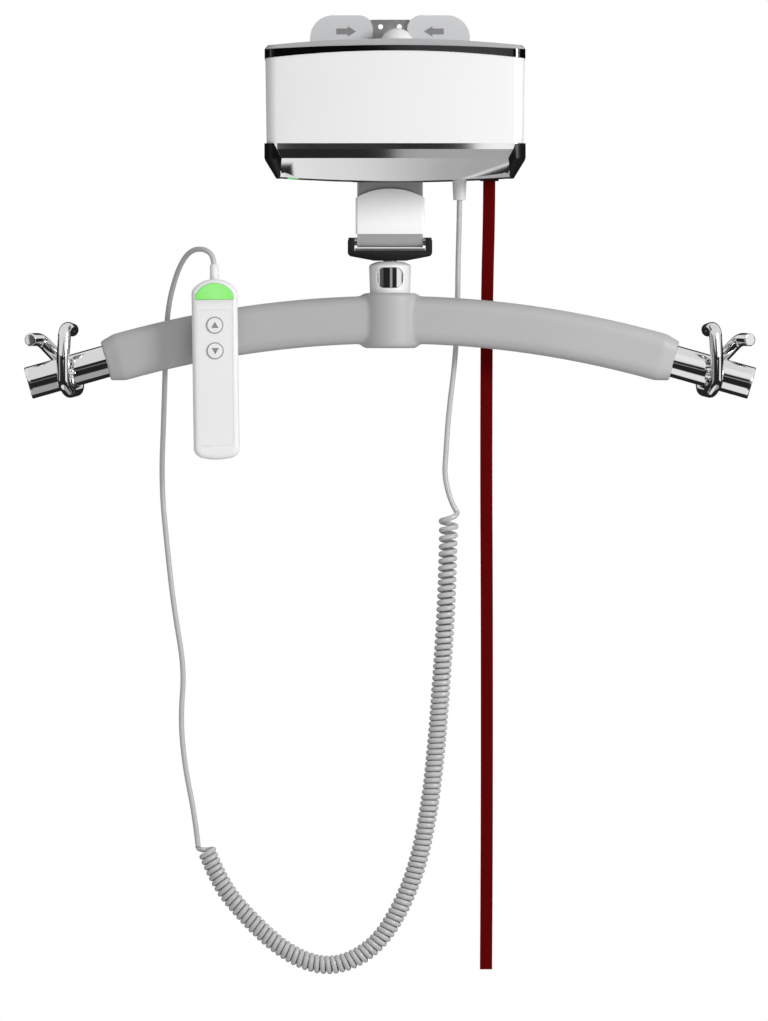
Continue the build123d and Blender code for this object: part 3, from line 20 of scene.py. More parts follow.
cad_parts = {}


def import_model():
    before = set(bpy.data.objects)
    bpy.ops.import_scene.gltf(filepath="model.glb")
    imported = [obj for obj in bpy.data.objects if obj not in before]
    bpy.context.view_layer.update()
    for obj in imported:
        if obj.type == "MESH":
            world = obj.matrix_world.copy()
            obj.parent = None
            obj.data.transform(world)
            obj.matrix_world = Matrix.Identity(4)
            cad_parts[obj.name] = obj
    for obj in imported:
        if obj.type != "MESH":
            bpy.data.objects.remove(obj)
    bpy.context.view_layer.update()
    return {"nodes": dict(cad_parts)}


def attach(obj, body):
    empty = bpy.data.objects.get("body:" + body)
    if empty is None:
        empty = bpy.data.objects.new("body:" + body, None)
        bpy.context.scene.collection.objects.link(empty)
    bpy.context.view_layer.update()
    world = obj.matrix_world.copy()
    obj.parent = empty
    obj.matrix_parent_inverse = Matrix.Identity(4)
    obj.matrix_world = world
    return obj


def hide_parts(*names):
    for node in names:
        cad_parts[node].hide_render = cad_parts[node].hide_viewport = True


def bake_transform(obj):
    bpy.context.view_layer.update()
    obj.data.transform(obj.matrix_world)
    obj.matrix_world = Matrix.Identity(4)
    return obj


log = logging.getLogger("hoist")

MM = 0.001
Point = tuple[float, float, float]
Colour = tuple[float, float, float]
Outline = list[tuple[float, float]]
Edges = tuple[float, float]

ALONG_X = Vector((1.0, 0.0, 0.0))
ALONG_Y = Vector((0.0, 1.0, 0.0))
ALONG_Z = Vector((0.0, 0.0, 1.0))
EVEN = (1.0, 1.0, 1.0)
STRAP_EDGE_STEPS = 3


class Side(Enum):
    """A side of the hoist, as the sign of X."""

    LEFT = -1
    RIGHT = 1


class Weave(Enum):
    """How a webbing's threads cross."""

    PLAIN = "plain"
    RIBBED = "ribbed"


class Number:
    """A number in a shader tree that Python's operators work on."""

    def __init__(self, tree: bpy.types.NodeTree, socket: bpy.types.NodeSocket) -> None:
        """Wrap an output socket of a tree."""
        self.tree = tree
        self.socket = socket

    def maths(self, operation: str, *values: Number | float) -> Number:
        """Add one Math node.

        Args:
            operation: the node's operation.
            values: its inputs in order, wrapped sockets or plain numbers.

        Returns:
            The node's result.
        """
        node = self.tree.nodes.new("ShaderNodeMath")
        node.operation = operation
        for slot, value in zip(node.inputs, values):
            if isinstance(value, Number):
                self.tree.links.new(value.socket, slot)
            else:
                slot.default_value = value
        return Number(self.tree, node.outputs[0])

    def __add__(self, other: Number | float) -> Number:
        """Sum."""
        return self.maths("ADD", self, other)

    __radd__ = __add__

    def __mul__(self, other: Number | float) -> Number:
        """Product."""
        return self.maths("MULTIPLY", self, other)

    __rmul__ = __mul__

    def __sub__(self, other: Number | float) -> Number:
        """Difference."""
        return self.maths("SUBTRACT", self, other)

    def __rsub__(self, other: float) -> Number:
        """Difference with a plain number first."""
        return self.maths("SUBTRACT", other, self)

    def __truediv__(self, other: Number | float) -> Number:
        """Quotient."""
        return self.maths("DIVIDE", self, other)

    def __pow__(self, other: float) -> Number:
        """Power."""
        return self.maths("POWER", self, other)

    def sine(self) -> Number:
        """Sine of an angle in radians."""
        return self.maths("SINE", self)

    def size(self) -> Number:
        """Absolute value."""
        return self.maths("ABSOLUTE", self)

    def whole(self) -> Number:
        """Largest whole number that isn't above this one."""
        return self.maths("FLOOR", self)

    def least(self, other: Number | float) -> Number:
        """The lesser of two."""
        return self.maths("MINIMUM", self, other)

    def most(self, other: Number | float) -> Number:
        """The greater of two."""
        return self.maths("MAXIMUM", self, other)

    def ramp(self, low: float, high: float) -> Number:
        """Go smoothly from 0 at low to 1 at high.

        Args:
            low: where the result is 0.
            high: where the result is 1.

        Returns:
            The eased share.
        """
        share = ((self - low) / (high - low)).most(0.0).least(1.0)
        return share * share * (3.0 - 2.0 * share)

    def band(self, rise: Edges, fall: Edges) -> Number:
        """Go smoothly up to 1 over one stretch and back to 0 over a later one.

        Args:
            rise: where it leaves 0 and reaches 1.
            fall: where it leaves 1 and reaches 0.

        Returns:
            The share.
        """
        return self.ramp(*rise) * (1.0 - self.ramp(*fall))


def shade(colour: Colour, level: float) -> Colour:
    """The colour at another level of brightness, where 1 is its own."""
    return tuple(min(c * level, 1.0) for c in colour)


class Paint:
    """One material: a surface shader, and the nodes that feed it."""

    def __init__(self, name: str, colour: Colour, roughness: float, metallic: float = 0.0,
                 **sockets: float | tuple) -> None:
        """Start a material.

        Args:
            name: the material's name.
            colour: linear base colour.
            roughness: plain roughness.
            metallic: 1 for metal.
            sockets: other plain socket values, with underscores for the spaces in their names.
        """
        self.material = bpy.data.materials.new(name)
        self.material.use_nodes = True
        self.tree = self.material.node_tree
        self.tree.nodes.clear()
        self.output = self.tree.nodes.new("ShaderNodeOutputMaterial")
        values = {"Base Color": (*colour, 1.0), "Roughness": roughness, "Metallic": metallic}
        values.update({key.replace("_", " "): value for key, value in sockets.items()})
        self.surface = self.node("ShaderNodeBsdfPrincipled", inputs=values)
        self.tree.links.new(self.surface.outputs[0], self.output.inputs["Surface"])
        self.colour = colour
        self._place: bpy.types.Node | None = None

    def node(self, kind: str, settings: dict | None = None, inputs: dict | None = None) -> bpy.types.Node:
        """Add a node.

        Args:
            kind: the node's type.
            settings: its own settings, which are set first.
            inputs: values or links of its sockets, by name or number.

        Returns:
            The node.
        """
        node = self.tree.nodes.new(kind)
        for key, value in (settings or {}).items():
            setattr(node, key, value)
        for key, value in (inputs or {}).items():
            slot = node.inputs[key]
            if isinstance(value, Number):
                self.tree.links.new(value.socket, slot)
            elif isinstance(value, bpy.types.NodeSocket):
                self.tree.links.new(value, slot)
            else:
                slot.default_value = value
        return node

    def place(self) -> bpy.types.NodeSocket:
        """Object coordinates, which are metres in the row frame."""
        if self._place is None:
            self._place = self.node("ShaderNodeTexCoord")
        return self._place.outputs["Object"]

    def axes(self, source: bpy.types.NodeSocket | None = None) -> tuple[Number, Number, Number]:
        """Three numbers of a vector.

        Args:
            source: a vector socket, or None for the Object coordinates.

        Returns:
            Its X, Y and Z.
        """
        split = self.node("ShaderNodeSeparateXYZ", inputs={0: source or self.place()})
        return tuple(Number(self.tree, socket) for socket in split.outputs)

    def across_and_along(self) -> tuple[Number, Number]:
        """The piece's own map: share of the way round or across, and metres along."""
        across, along, _ = self.axes(self.node("ShaderNodeUVMap", {"uv_map": "UVMap"}).outputs[0])
        return across, along

    def noise(self, scale: float, detail: float = 2.0, stretch: Point = EVEN) -> Number:
        """Smooth noise from 0 to 1.

        Args:
            scale: features per metre.
            detail: octaves.
            stretch: scale of each axis before the noise.

        Returns:
            The noise.
        """
        spot = self.node("ShaderNodeMapping", inputs={"Vector": self.place(), "Scale": stretch})
        noise = self.node("ShaderNodeTexNoise", {"noise_dimensions": "3D"},
                          {"Vector": spot.outputs[0], "Scale": scale, "Detail": detail})
        return Number(self.tree, noise.outputs[0])

    def cells(self, scale: float) -> Number:
        """Distance to the middle of the nearest cell, in cells."""
        cell = self.node("ShaderNodeTexVoronoi", inputs={"Vector": self.place(), "Scale": scale})
        return Number(self.tree, cell.outputs["Distance"])

    def mix(self, share: Number, low: Colour | bpy.types.NodeSocket,
            high: Colour | bpy.types.NodeSocket) -> bpy.types.NodeSocket:
        """Mix two colours.

        Args:
            share: 0 for low and 1 for high.
            low: first colour.
            high: second colour.

        Returns:
            The mixed colour's socket.
        """
        factor, first, second, mixed = 0, 6, 7, 2
        low, high = (value if isinstance(value, bpy.types.NodeSocket) else (*value, 1.0)
                     for value in (low, high))
        node = self.node("ShaderNodeMix", {"data_type": "RGBA"}, {factor: share, first: low, second: high})
        return node.outputs[mixed]

    def feed(self, socket: str, value: Number | bpy.types.NodeSocket) -> None:
        """Link a value to the surface shader's socket of that name."""
        source = value.socket if isinstance(value, Number) else value
        self.tree.links.new(source, self.surface.inputs[socket])

    def tint(self, share: Number, amount: float) -> None:
        """Vary the base colour.

        Args:
            share: 0 for the darker tone and 1 for the lighter one.
            amount: how far the tones are from the plain colour, as a share of it.
        """
        darker, lighter = shade(self.colour, 1.0 - amount), shade(self.colour, 1.0 + amount)
        self.feed("Base Color", self.mix(share, darker, lighter))

    def relief(self, height: Number, depth: float, strength: float) -> None:
        """Turn a height into bumps of the surface.

        Args:
            height: 0 at the foot and 1 at the top.
            depth: how deep that is, in metres.
            strength: the bump's strength.
        """
        bump = self.node("ShaderNodeBump", inputs={"Height": height, "Distance": depth, "Strength": strength})
        self.feed("Normal", bump.outputs["Normal"])


@dataclass(frozen=True)
class MouldedPlastic:
    """Glossy or satin moulded plastic with a faint grain and handling marks.

    Attributes:
        grain: grains per metre.
        grain_depth: depth of the grain, in metres.
        coat: weight of the clear gloss on top.
        shine: strength of the surface's own reflections.
    """

    name: str
    colour: Colour
    roughness: float = 0.3
    grain: float = 900.0
    grain_depth: float = 0.01 * MM
    coat: float = 0.0
    shine: float = 0.5

    def make(self) -> bpy.types.Material:
        """Build the material."""
        paint = Paint(self.name, self.colour, self.roughness, Coat_Weight=self.coat, Coat_Roughness=0.12,
                      Specular_IOR_Level=self.shine)
        paint.tint(paint.noise(scale=14.0, detail=3.0), amount=0.018)
        marks = paint.noise(scale=160.0, detail=4.0, stretch=(1.0, 1.0, 0.35))
        paint.feed("Roughness", self.roughness * (0.86 + 0.28 * marks))
        paint.relief(paint.noise(self.grain), self.grain_depth, strength=0.5)
        return paint.material


@dataclass(frozen=True)
class Metal:
    """Polished, turned or plated metal with fine drawn lines and faint smears.

    Attributes:
        lines: stretch of the fine lines, low along the axis that they run along.
        line_depth: depth of the lines, in metres.
        smear: how far smears change the roughness, as a share of it.
    """

    name: str
    colour: Colour
    roughness: float = 0.12
    lines: Point = EVEN
    line_depth: float = 0.004 * MM
    smear: float = 0.25

    def make(self) -> bpy.types.Material:
        """Build the material."""
        paint = Paint(self.name, self.colour, self.roughness, metallic=1.0)
        smear = paint.noise(scale=35.0, detail=4.0)
        paint.tint(smear, amount=0.05)
        paint.feed("Roughness", self.roughness * (1.0 - self.smear + 2.0 * self.smear * smear))
        paint.relief(paint.noise(scale=1400.0, detail=1.0, stretch=self.lines), self.line_depth, strength=0.4)
        return paint.material


@dataclass(frozen=True)
class PowderCoat:
    """Black baked powder with its orange-peel skin."""

    name: str
    colour: Colour
    roughness: float = 0.42
    peel_depth: float = 0.06 * MM

    def make(self) -> bpy.types.Material:
        """Build the material."""
        paint = Paint(self.name, self.colour, self.roughness, Specular_IOR_Level=0.25)
        peel = paint.noise(scale=650.0)
        paint.tint(paint.noise(scale=60.0), amount=0.12)
        paint.feed("Roughness", self.roughness * (0.85 + 0.3 * peel))
        paint.relief(peel, self.peel_depth, strength=0.6)
        return paint.material


@dataclass(frozen=True)
class ZincPlate:
    """Zinc-plated steel with its cloudy spangle and fine rolling lines."""

    name: str
    colour: Colour
    roughness: float = 0.34
    line_depth: float = 0.006 * MM

    def make(self) -> bpy.types.Material:
        """Build the material."""
        paint = Paint(self.name, self.colour, self.roughness, metallic=0.85)
        paint.tint(paint.cells(220.0), amount=0.10)
        paint.feed("Roughness", self.roughness * (0.8 + 0.5 * paint.noise(scale=90.0, detail=3.0)))
        lines = paint.noise(scale=2600.0, detail=1.0, stretch=(0.1, 1.0, 1.0))
        paint.relief(lines, self.line_depth, strength=0.5)
        return paint.material


@dataclass(frozen=True)
class PadSkin:
    """Skin of the bar's moulded pad: satin grey with a fine pebble."""

    name: str
    colour: Colour
    roughness: float = 0.5
    pebble_depth: float = 0.03 * MM

    def make(self) -> bpy.types.Material:
        """Build the material."""
        paint = Paint(self.name, self.colour, self.roughness, Sheen_Weight=0.08, Sheen_Roughness=0.5)
        cloud = paint.noise(scale=22.0, detail=3.0)
        paint.tint(cloud, amount=0.035)
        paint.feed("Roughness", self.roughness * (0.9 + 0.2 * cloud))
        paint.relief(paint.cells(1500.0), self.pebble_depth, strength=0.5)
        return paint.material


@dataclass(frozen=True)
class Webbing:
    """Woven strap seen face on: warp ribs run down it and the weft crosses them; its tone is painted shade in
    the hollows between threads and a painted highlight on the proud ones.

    Attributes:
        half_width: half of the strap's width, in metres.
        middle: the X of its middle line.
        warp: width of one warp rib.
        weft: height of one weft pick.
        weave: how the threads cross.
        edge: width of the selvedge.
        sheen: weight of the fuzz's sheen.
        shine: strength of the surface's own reflections.
        thread_depth: how far the threads stand proud, in metres.
    """

    name: str
    colour: Colour
    half_width: float
    middle: float
    warp: float = 1.1 * MM
    weft: float = 0.9 * MM
    weave: Weave = Weave.PLAIN
    edge: float = 2.2 * MM
    sheen: float = 0.25
    shine: float = 0.5
    thread_depth: float = 0.22 * MM

    def make(self) -> bpy.types.Material:
        """Build the material."""
        paint = Paint(self.name, self.colour, 0.8, Sheen_Weight=self.sheen, Sheen_Roughness=0.4,
                      Specular_IOR_Level=self.shine)
        across, _, along = paint.axes()
        column = (across / self.warp).whole()
        rib = (across * (math.pi / self.warp)).sine().size()
        shift = column * (math.pi if self.weave is Weave.PLAIN else math.pi / 2.0)
        pick = 0.5 + 0.5 * (along * (math.tau / self.weft) + shift).sine()
        height = (0.35 + 0.65 * rib) * (0.45 + 0.55 * pick)
        from_edge = self.half_width - (across - self.middle).size()
        selvedge = 1.0 - from_edge.ramp(self.edge * 0.8, self.edge)
        fibre = paint.noise(scale=2600.0, detail=3.0, stretch=(1.0, 1.0, 0.3))
        proud = (height * 0.75 + 0.25 * fibre).most(0.0).least(1.0)
        # Darker in the hollows between threads is painted shade; lighter on the proud threads is a painted
        # highlight.
        weave_tone_painted_shade = paint.mix(proud, shade(self.colour, 0.62), shade(self.colour, 1.22))
        paint.feed("Base Color", paint.mix(selvedge * 0.4, weave_tone_painted_shade, shade(self.colour, 1.35)))
        paint.feed("Roughness", 0.72 + 0.2 * fibre)
        paint.relief(height + fibre * 0.2, self.thread_depth, strength=0.7)
        return paint.material


@dataclass(frozen=True)
class CordJacket:
    """Satin cord jacket with faint extrusion lines that wander along it.

    Attributes:
        lines: extrusion lines round the cord.
        wander: radians per metre of the lines' slow wander.
        line_depth: depth of the lines, in metres.
    """

    name: str
    colour: Colour
    roughness: float = 0.36
    lines: int = 9
    wander: float = 55.0
    line_depth: float = 0.012 * MM

    def make(self) -> bpy.types.Material:
        """Build the material."""
        paint = Paint(self.name, self.colour, self.roughness, Coat_Weight=0.1, Coat_Roughness=0.25)
        across, along = paint.across_and_along()
        lines = 0.5 + 0.5 * (across * (math.tau * self.lines) + 2.0 * (along * self.wander).sine()).sine()
        cloud = paint.noise(scale=120.0, detail=3.0)
        paint.tint(cloud, amount=0.05)
        paint.feed("Roughness", self.roughness * (0.85 + 0.3 * cloud))
        paint.relief(lines, self.line_depth, strength=0.5)
        return paint.material


@dataclass(frozen=True)
class LampLens:
    """Tinted lens with a lit lamp behind it; its base colour is paler towards its middle, a painted glow of
    the lamp.

    Attributes:
        glow: strength of its own light.
        middle: X and Z of the lamp.
        reach: how far from the lamp the painted glow goes, in metres.
        dimple_depth: depth of the lens's fine dimples, in metres.
    """

    name: str
    colour: Colour
    glow: float
    middle: tuple[float, float]
    reach: float
    dimple_depth: float = 0.02 * MM

    def make(self) -> bpy.types.Material:
        """Build the material."""
        paint = Paint(self.name, self.colour, 0.18, Coat_Weight=0.6, Coat_Roughness=0.05,
                      Emission_Strength=self.glow)
        across, _, up = paint.axes()
        off = ((across - self.middle[0]) ** 2.0 + (up - self.middle[1]) ** 2.0) ** 0.5
        share = 1.0 - off.ramp(0.0, self.reach)
        # The paler middle of the base colour is a painted glow of the lamp behind the lens.
        pale = tuple(0.1 + 0.9 * c for c in self.colour)
        lit = paint.mix(share, self.colour, pale)
        paint.feed("Base Color", lit)
        paint.feed("Emission Color", lit)
        paint.relief(paint.cells(900.0), self.dimple_depth, strength=0.4)
        return paint.material


@dataclass(frozen=True)
class CircuitBoard:
    """Green board with faint copper runs under its mask.

    Attributes:
        run_colour: colour of the mask over a run.
        run_waves: radians per metre of the runs' two rhythms, across and up the board.
        run_height: how proud the runs stand, in metres.
    """

    name: str
    colour: Colour
    run_colour: Colour = (0.06, 0.30, 0.10)
    run_waves: tuple[float, float] = (1400.0, 1100.0)
    run_height: float = 0.03 * MM

    def make(self) -> bpy.types.Material:
        """Build the material."""
        paint = Paint(self.name, self.colour, 0.35, Coat_Weight=0.4)
        across, _, up = paint.axes()
        runs = (across * self.run_waves[0]).sine().most((up * self.run_waves[1]).sine()).ramp(0.86, 0.95)
        paint.feed("Base Color", paint.mix(runs, self.colour, self.run_colour))
        paint.feed("Roughness", 0.3 + 0.15 * paint.noise(scale=300.0))
        paint.relief(runs, self.run_height, strength=0.5)
        return paint.material


Finish = (MouldedPlastic | Metal | PowderCoat | ZincPlate | PadSkin | Webbing | CordJacket | LampLens
          | CircuitBoard)


class Shop:
    """Makes each finish once and puts it on nodes and pieces."""

    merge_gap = 0.002 * MM
    flat_angle = math.radians(1.0)
    corner_angle = math.radians(60.0)
    bevel_margin = math.radians(8.0)

    def __init__(self, nodes: dict[str, bpy.types.Object]) -> None:
        """Keep the model's nodes by name."""
        self.nodes = nodes
        self.made: dict[str, bpy.types.Material] = {}

    def material(self, finish: Finish) -> bpy.types.Material:
        """The material of a finish, built at its first use.

        Args:
            finish: the finish.

        Returns:
            Its material.
        """
        if finish.name not in self.made:
            self.made[finish.name] = finish.make()
        return self.made[finish.name]

    def dress(self, finish: Finish, *names: str) -> None:
        """Give the model's own nodes a finish.

        Args:
            finish: the finish.
            names: the nodes' names.
        """
        for name in names:
            mesh = self.nodes[name].data
            mesh.materials.clear()
            mesh.materials.append(self.material(finish))
            log.info("node %s: %s", name, finish.name)

    def coat(self, piece: bpy.types.Object, finish: Finish, slot: str) -> None:
        """Give a new piece a finish.

        Args:
            piece: the new piece.
            finish: its finish.
            slot: the record's material slot; not used.
        """
        piece.data.materials.clear()
        piece.data.materials.append(self.material(finish))
        log.info("piece %s: %s", piece.name, finish.name)

    def merged(self, node: str, name: str) -> tuple[bpy.types.Mesh, bmesh.types.BMesh]:
        """Copy a node's mesh and merge its loose triangles.

        Args:
            node: the node's name.
            name: the copy's name.

        Returns:
            The copy, and its merged faces as a mesh to work on.
        """
        mesh = self.nodes[node].data.copy()
        mesh.name = name
        work = bmesh.new()
        work.from_mesh(mesh)
        bmesh.ops.remove_doubles(work, verts=work.verts, dist=self.merge_gap)
        return mesh, work

    def smooth_copy(self, node: str, body: str, finish: Finish, slot: str, angle: float = 32.0,
                    bevel: float = 0.0, corner: float = 0.0) -> None:
        """Stand a merged, smooth-shaded copy in for a node whose facets would show.

        Args:
            node: the node's name.
            body: the body that it rides on.
            finish: its finish.
            slot: the record's material slot.
            angle: edges sharper than this many degrees stay sharp.
            bevel: width of a small round on the sharp edges, in metres, or 0 for none.
            corner: width of a larger round on the outermost edges that run front to back, or 0 for none.
        """
        name = f"{node}_smooth"
        mesh, work = self.merged(node, name)
        bmesh.ops.dissolve_limit(work, angle_limit=self.flat_angle, verts=work.verts, edges=work.edges)
        if corner:
            reach = max(abs(vertex.co.x) for vertex in work.verts) - 1.0 * MM
            outer = [edge for edge in work.edges
                     if min(abs(vertex.co.x) for vertex in edge.verts) > reach
                     and abs(edge.verts[0].co.y - edge.verts[1].co.y) > 0.9 * edge.calc_length()
                     and edge.calc_length() > 2.0 * corner
                     and edge.calc_face_angle(0.0) > self.corner_angle]
            bmesh.ops.bevel(work, geom=outer, offset=corner, segments=5, affect="EDGES", profile=0.5,
                            clamp_overlap=True)
        if bevel:
            least = math.radians(angle) + self.bevel_margin
            sharp = [edge for edge in work.edges
                     if len(edge.link_faces) == 2 and edge.calc_face_angle(0.0) > least]
            bmesh.ops.bevel(work, geom=sharp, offset=bevel, segments=2, affect="EDGES", profile=0.5,
                            clamp_overlap=True)
        work.to_mesh(mesh)
        work.free()
        piece = Maker.link(name, mesh)
        Maker.shade(piece, angle)
        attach(piece, body)
        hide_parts(node)
        self.coat(piece, finish, slot)


class Maker:
    """Builds meshes whose objects sit at the origin."""

    @staticmethod
    def link(name: str, mesh: bpy.types.Mesh | bpy.types.Curve) -> bpy.types.Object:
        """Put a mesh in the scene as an object.

        Args:
            name: the object's name.
            mesh: its mesh, or a curve.

        Returns:
            The object.
        """
        piece = bpy.data.objects.new(name, mesh)
        bpy.context.scene.collection.objects.link(piece)
        return piece

    @staticmethod
    def shade(piece: bpy.types.Object, angle: float = 32.0) -> None:
        """Shade smooth.

        Args:
            piece: the object.
            angle: edges sharper than this many degrees stay sharp.
        """
        mesh = piece.data
        if mesh.has_custom_normals:
            mesh.normals_split_custom_set([(0.0, 0.0, 0.0)] * len(mesh.loops))
        mesh.shade_smooth()
        mesh.set_sharp_from_angle(angle=math.radians(angle))

    @staticmethod
    def mesh(name: str, points: Sequence[Point | Vector], faces: Sequence[Sequence[int]]) -> bpy.types.Object:
        """Make an object from points and faces.

        Args:
            name: the object's name.
            points: its corners, in metres.
            faces: its faces, as corner numbers.

        Returns:
            The object.
        """
        mesh = bpy.data.meshes.new(name)
        mesh.from_pydata([tuple(point) for point in points], [], [tuple(face) for face in faces])
        mesh.update()
        piece = Maker.link(name, mesh)
        Maker.shade(piece)
        return piece

    @staticmethod
    def plain_mesh(holder: bpy.types.Object) -> bpy.types.Mesh:
        """What an object shows once its curve or modifiers are worked out, as a mesh of its own."""
        bpy.context.view_layer.update()
        return bpy.data.meshes.new_from_object(holder.evaluated_get(bpy.context.evaluated_depsgraph_get()))

    @staticmethod
    def smooth_line(route: Sequence[Point]) -> list[Vector]:
        """Points along the smooth spline that a route's points control.

        Args:
            route: control points, in metres.

        Returns:
            Points along the spline.
        """
        data = bpy.data.curves.new("route", "CURVE")
        data.dimensions = "3D"
        data.resolution_u = 24
        spline = data.splines.new("NURBS")
        spline.points.add(len(route) - 1)
        for control, place in zip(spline.points, route):
            control.co = (*place, 1.0)
        spline.order_u = 3
        spline.use_endpoint_u = True
        holder = Maker.link("route", data)
        mesh = Maker.plain_mesh(holder)
        line = [vertex.co.copy() for vertex in mesh.vertices]
        bpy.data.objects.remove(holder)
        bpy.data.curves.remove(data)
        bpy.data.meshes.remove(mesh)
        return line

    @staticmethod
    def reach(line: Sequence[Vector]) -> list[float]:
        """Metres along a line at each of its points."""
        return list(accumulate(((b - a).length for a, b in zip(line, line[1:])), initial=0.0))

    @staticmethod
    def even_line(line: Sequence[Vector], gap: float) -> list[Vector]:
        """The same line with its points an even gap apart.

        Args:
            line: points of the line.
            gap: the gap, in metres.

        Returns:
            The new points.
        """
        reach = Maker.reach(line)
        count = max(2, round(reach[-1] / gap))
        points, run, tiny = [], 0, 1e-12
        for number in range(count + 1):
            at = reach[-1] * number / count
            while run < len(line) - 2 and reach[run + 1] < at:
                run += 1
            share = (at - reach[run]) / max(reach[run + 1] - reach[run], tiny)
            points.append(line[run].lerp(line[run + 1], min(max(share, 0.0), 1.0)))
        return points

    @staticmethod
    def frames(line: Sequence[Vector], start: Vector) -> list[tuple[Vector, Vector, Vector]]:
        """Frames carried along a line without twist.

        Args:
            line: points of the line.
            start: rough direction of the first frame's side.

        Returns:
            For each point its way along, its side and its third direction.
        """
        frames, side = [], start
        for number in range(len(line)):
            before = line[max(number - 1, 0)]
            after = line[min(number + 1, len(line) - 1)]
            along = (after - before).normalized()
            side = (side - along * side.dot(along)).normalized()
            frames.append((along, side, along.cross(side)))
        return frames

    @staticmethod
    def rings(count: int, sides: int) -> list[list[int]]:
        """Faces of a closed skin over rings of points.

        Args:
            count: number of rings.
            sides: points of each ring.

        Returns:
            The faces between the rings, then the first and the last end.
        """
        faces = [[ring * sides + n, ring * sides + (n + 1) % sides,
                  (ring + 1) * sides + (n + 1) % sides, (ring + 1) * sides + n]
                 for ring in range(count - 1) for n in range(sides)]
        last = (count - 1) * sides
        return [*faces, list(reversed(range(sides))), list(range(last, last + sides))]

    @staticmethod
    def section(name: str, line: Sequence[Vector], outline: Sequence[tuple[float, float]], start: Vector,
                scale: Callable[[float], float] | None = None) -> bpy.types.Object:
        """Sweep a closed outline along a line, with flat ends and a map of its own.

        Args:
            name: the object's name.
            line: points of the line.
            outline: the outline's points in the frame's side and third directions, in metres.
            start: rough direction of the first frame's side.
            scale: scale of the outline by the share of the way along, or None.

        Returns:
            The object, with the map's U round the outline and V in metres along.
        """
        sides, reach = len(outline), Maker.reach(line)
        points = []
        for number, (place, (_, side, third)) in enumerate(zip(line, Maker.frames(line, start))):
            grow = scale(number / (len(line) - 1)) if scale else 1.0
            points += [place + side * (u * grow) + third * (v * grow) for u, v in outline]
        faces = Maker.rings(len(line), sides)
        piece = Maker.mesh(name, points, faces)
        layer = piece.data.uv_layers.new(name="UVMap")
        for number, polygon in enumerate(piece.data.polygons):
            for corner, loop in enumerate(polygon.loop_indices):
                ring, spoke = divmod(piece.data.loops[loop].vertex_index, sides)
                wrapped = number < len(faces) - 2 and corner in (1, 2) and spoke == 0
                layer.data[loop].uv = ((spoke + (sides if wrapped else 0)) / sides, reach[ring])
        return piece

    @staticmethod
    def ring(radius: float, sides: int) -> Outline:
        """Points of a circle."""
        return [(radius * math.cos(math.tau * n / sides), radius * math.sin(math.tau * n / sides))
                for n in range(sides)]

    @staticmethod
    def oblong(half_width: float, half_height: float, corner: float, steps: int) -> Outline:
        """Outline of a rectangle with round corners.

        Args:
            half_width: half of its width, in metres.
            half_height: half of its height.
            corner: radius of its corners.
            steps: steps of each corner.

        Returns:
            Its points, from the right round by the top.
        """
        points = []
        for u, v, first in ((1, 1, 0.0), (-1, 1, 90.0), (-1, -1, 180.0), (1, -1, 270.0)):
            for step in range(steps + 1):
                angle = math.radians(first + 90.0 * step / steps)
                points.append((u * (half_width - corner) + corner * math.cos(angle),
                               v * (half_height - corner) + corner * math.sin(angle)))
        return points

    @staticmethod
    def turned(name: str, profile: Sequence[tuple[float, float]], sides: int) -> bpy.types.Object:
        """Turn a profile round the Z axis into a closed solid.

        Args:
            name: the object's name.
            profile: radius and height of each ring, from the bottom to the top.
            sides: sides of the round.

        Returns:
            The object.
        """
        points = [(x, y, height) for radius, height in profile for x, y in Maker.ring(radius, sides)]
        return Maker.mesh(name, points, Maker.rings(len(profile), sides))

    @staticmethod
    def blended(name: str, pieces: Sequence[bpy.types.Object], grain: float, rounds: int,
                near: Callable[[Vector], float]) -> bpy.types.Object:
        """Melt overlapping closed pieces into one skin and smooth it where they meet.

        Args:
            name: the new object's name.
            pieces: the closed pieces, which are used up.
            grain: size of the skin's squares, in metres.
            rounds: smoothing rounds, of which the first two go over the whole skin.
            near: share of the smoothing that a point takes, from 0 to 1.

        Returns:
            The object.
        """
        joined = bmesh.new()
        for piece in pieces:
            joined.from_mesh(piece.data)
        mesh = bpy.data.meshes.new(name)
        joined.to_mesh(mesh)
        joined.free()
        for piece in pieces:
            bpy.data.objects.remove(piece)
        holder = Maker.link(name, mesh)
        melt = holder.modifiers.new("melt", "REMESH")
        melt.mode = "VOXEL"
        melt.voxel_size = grain
        skin = Maker.plain_mesh(holder)
        holder.modifiers.clear()
        holder.data = skin
        bpy.data.meshes.remove(mesh)
        skin.name = name
        work = bmesh.new()
        work.from_mesh(skin)
        all_over = 2
        for number in range(rounds):
            moved = {vertex: sum((edge.other_vert(vertex).co for edge in vertex.link_edges), Vector())
                     / len(vertex.link_edges) for vertex in work.verts
                     if number < all_over or near(vertex.co) > 0.0}
            for vertex, target in moved.items():
                share = 0.5 if number < all_over else 0.5 * near(vertex.co)
                vertex.co = vertex.co.lerp(target, share)
        work.to_mesh(skin)
        work.free()
        Maker.shade(holder, 60.0)
        return holder

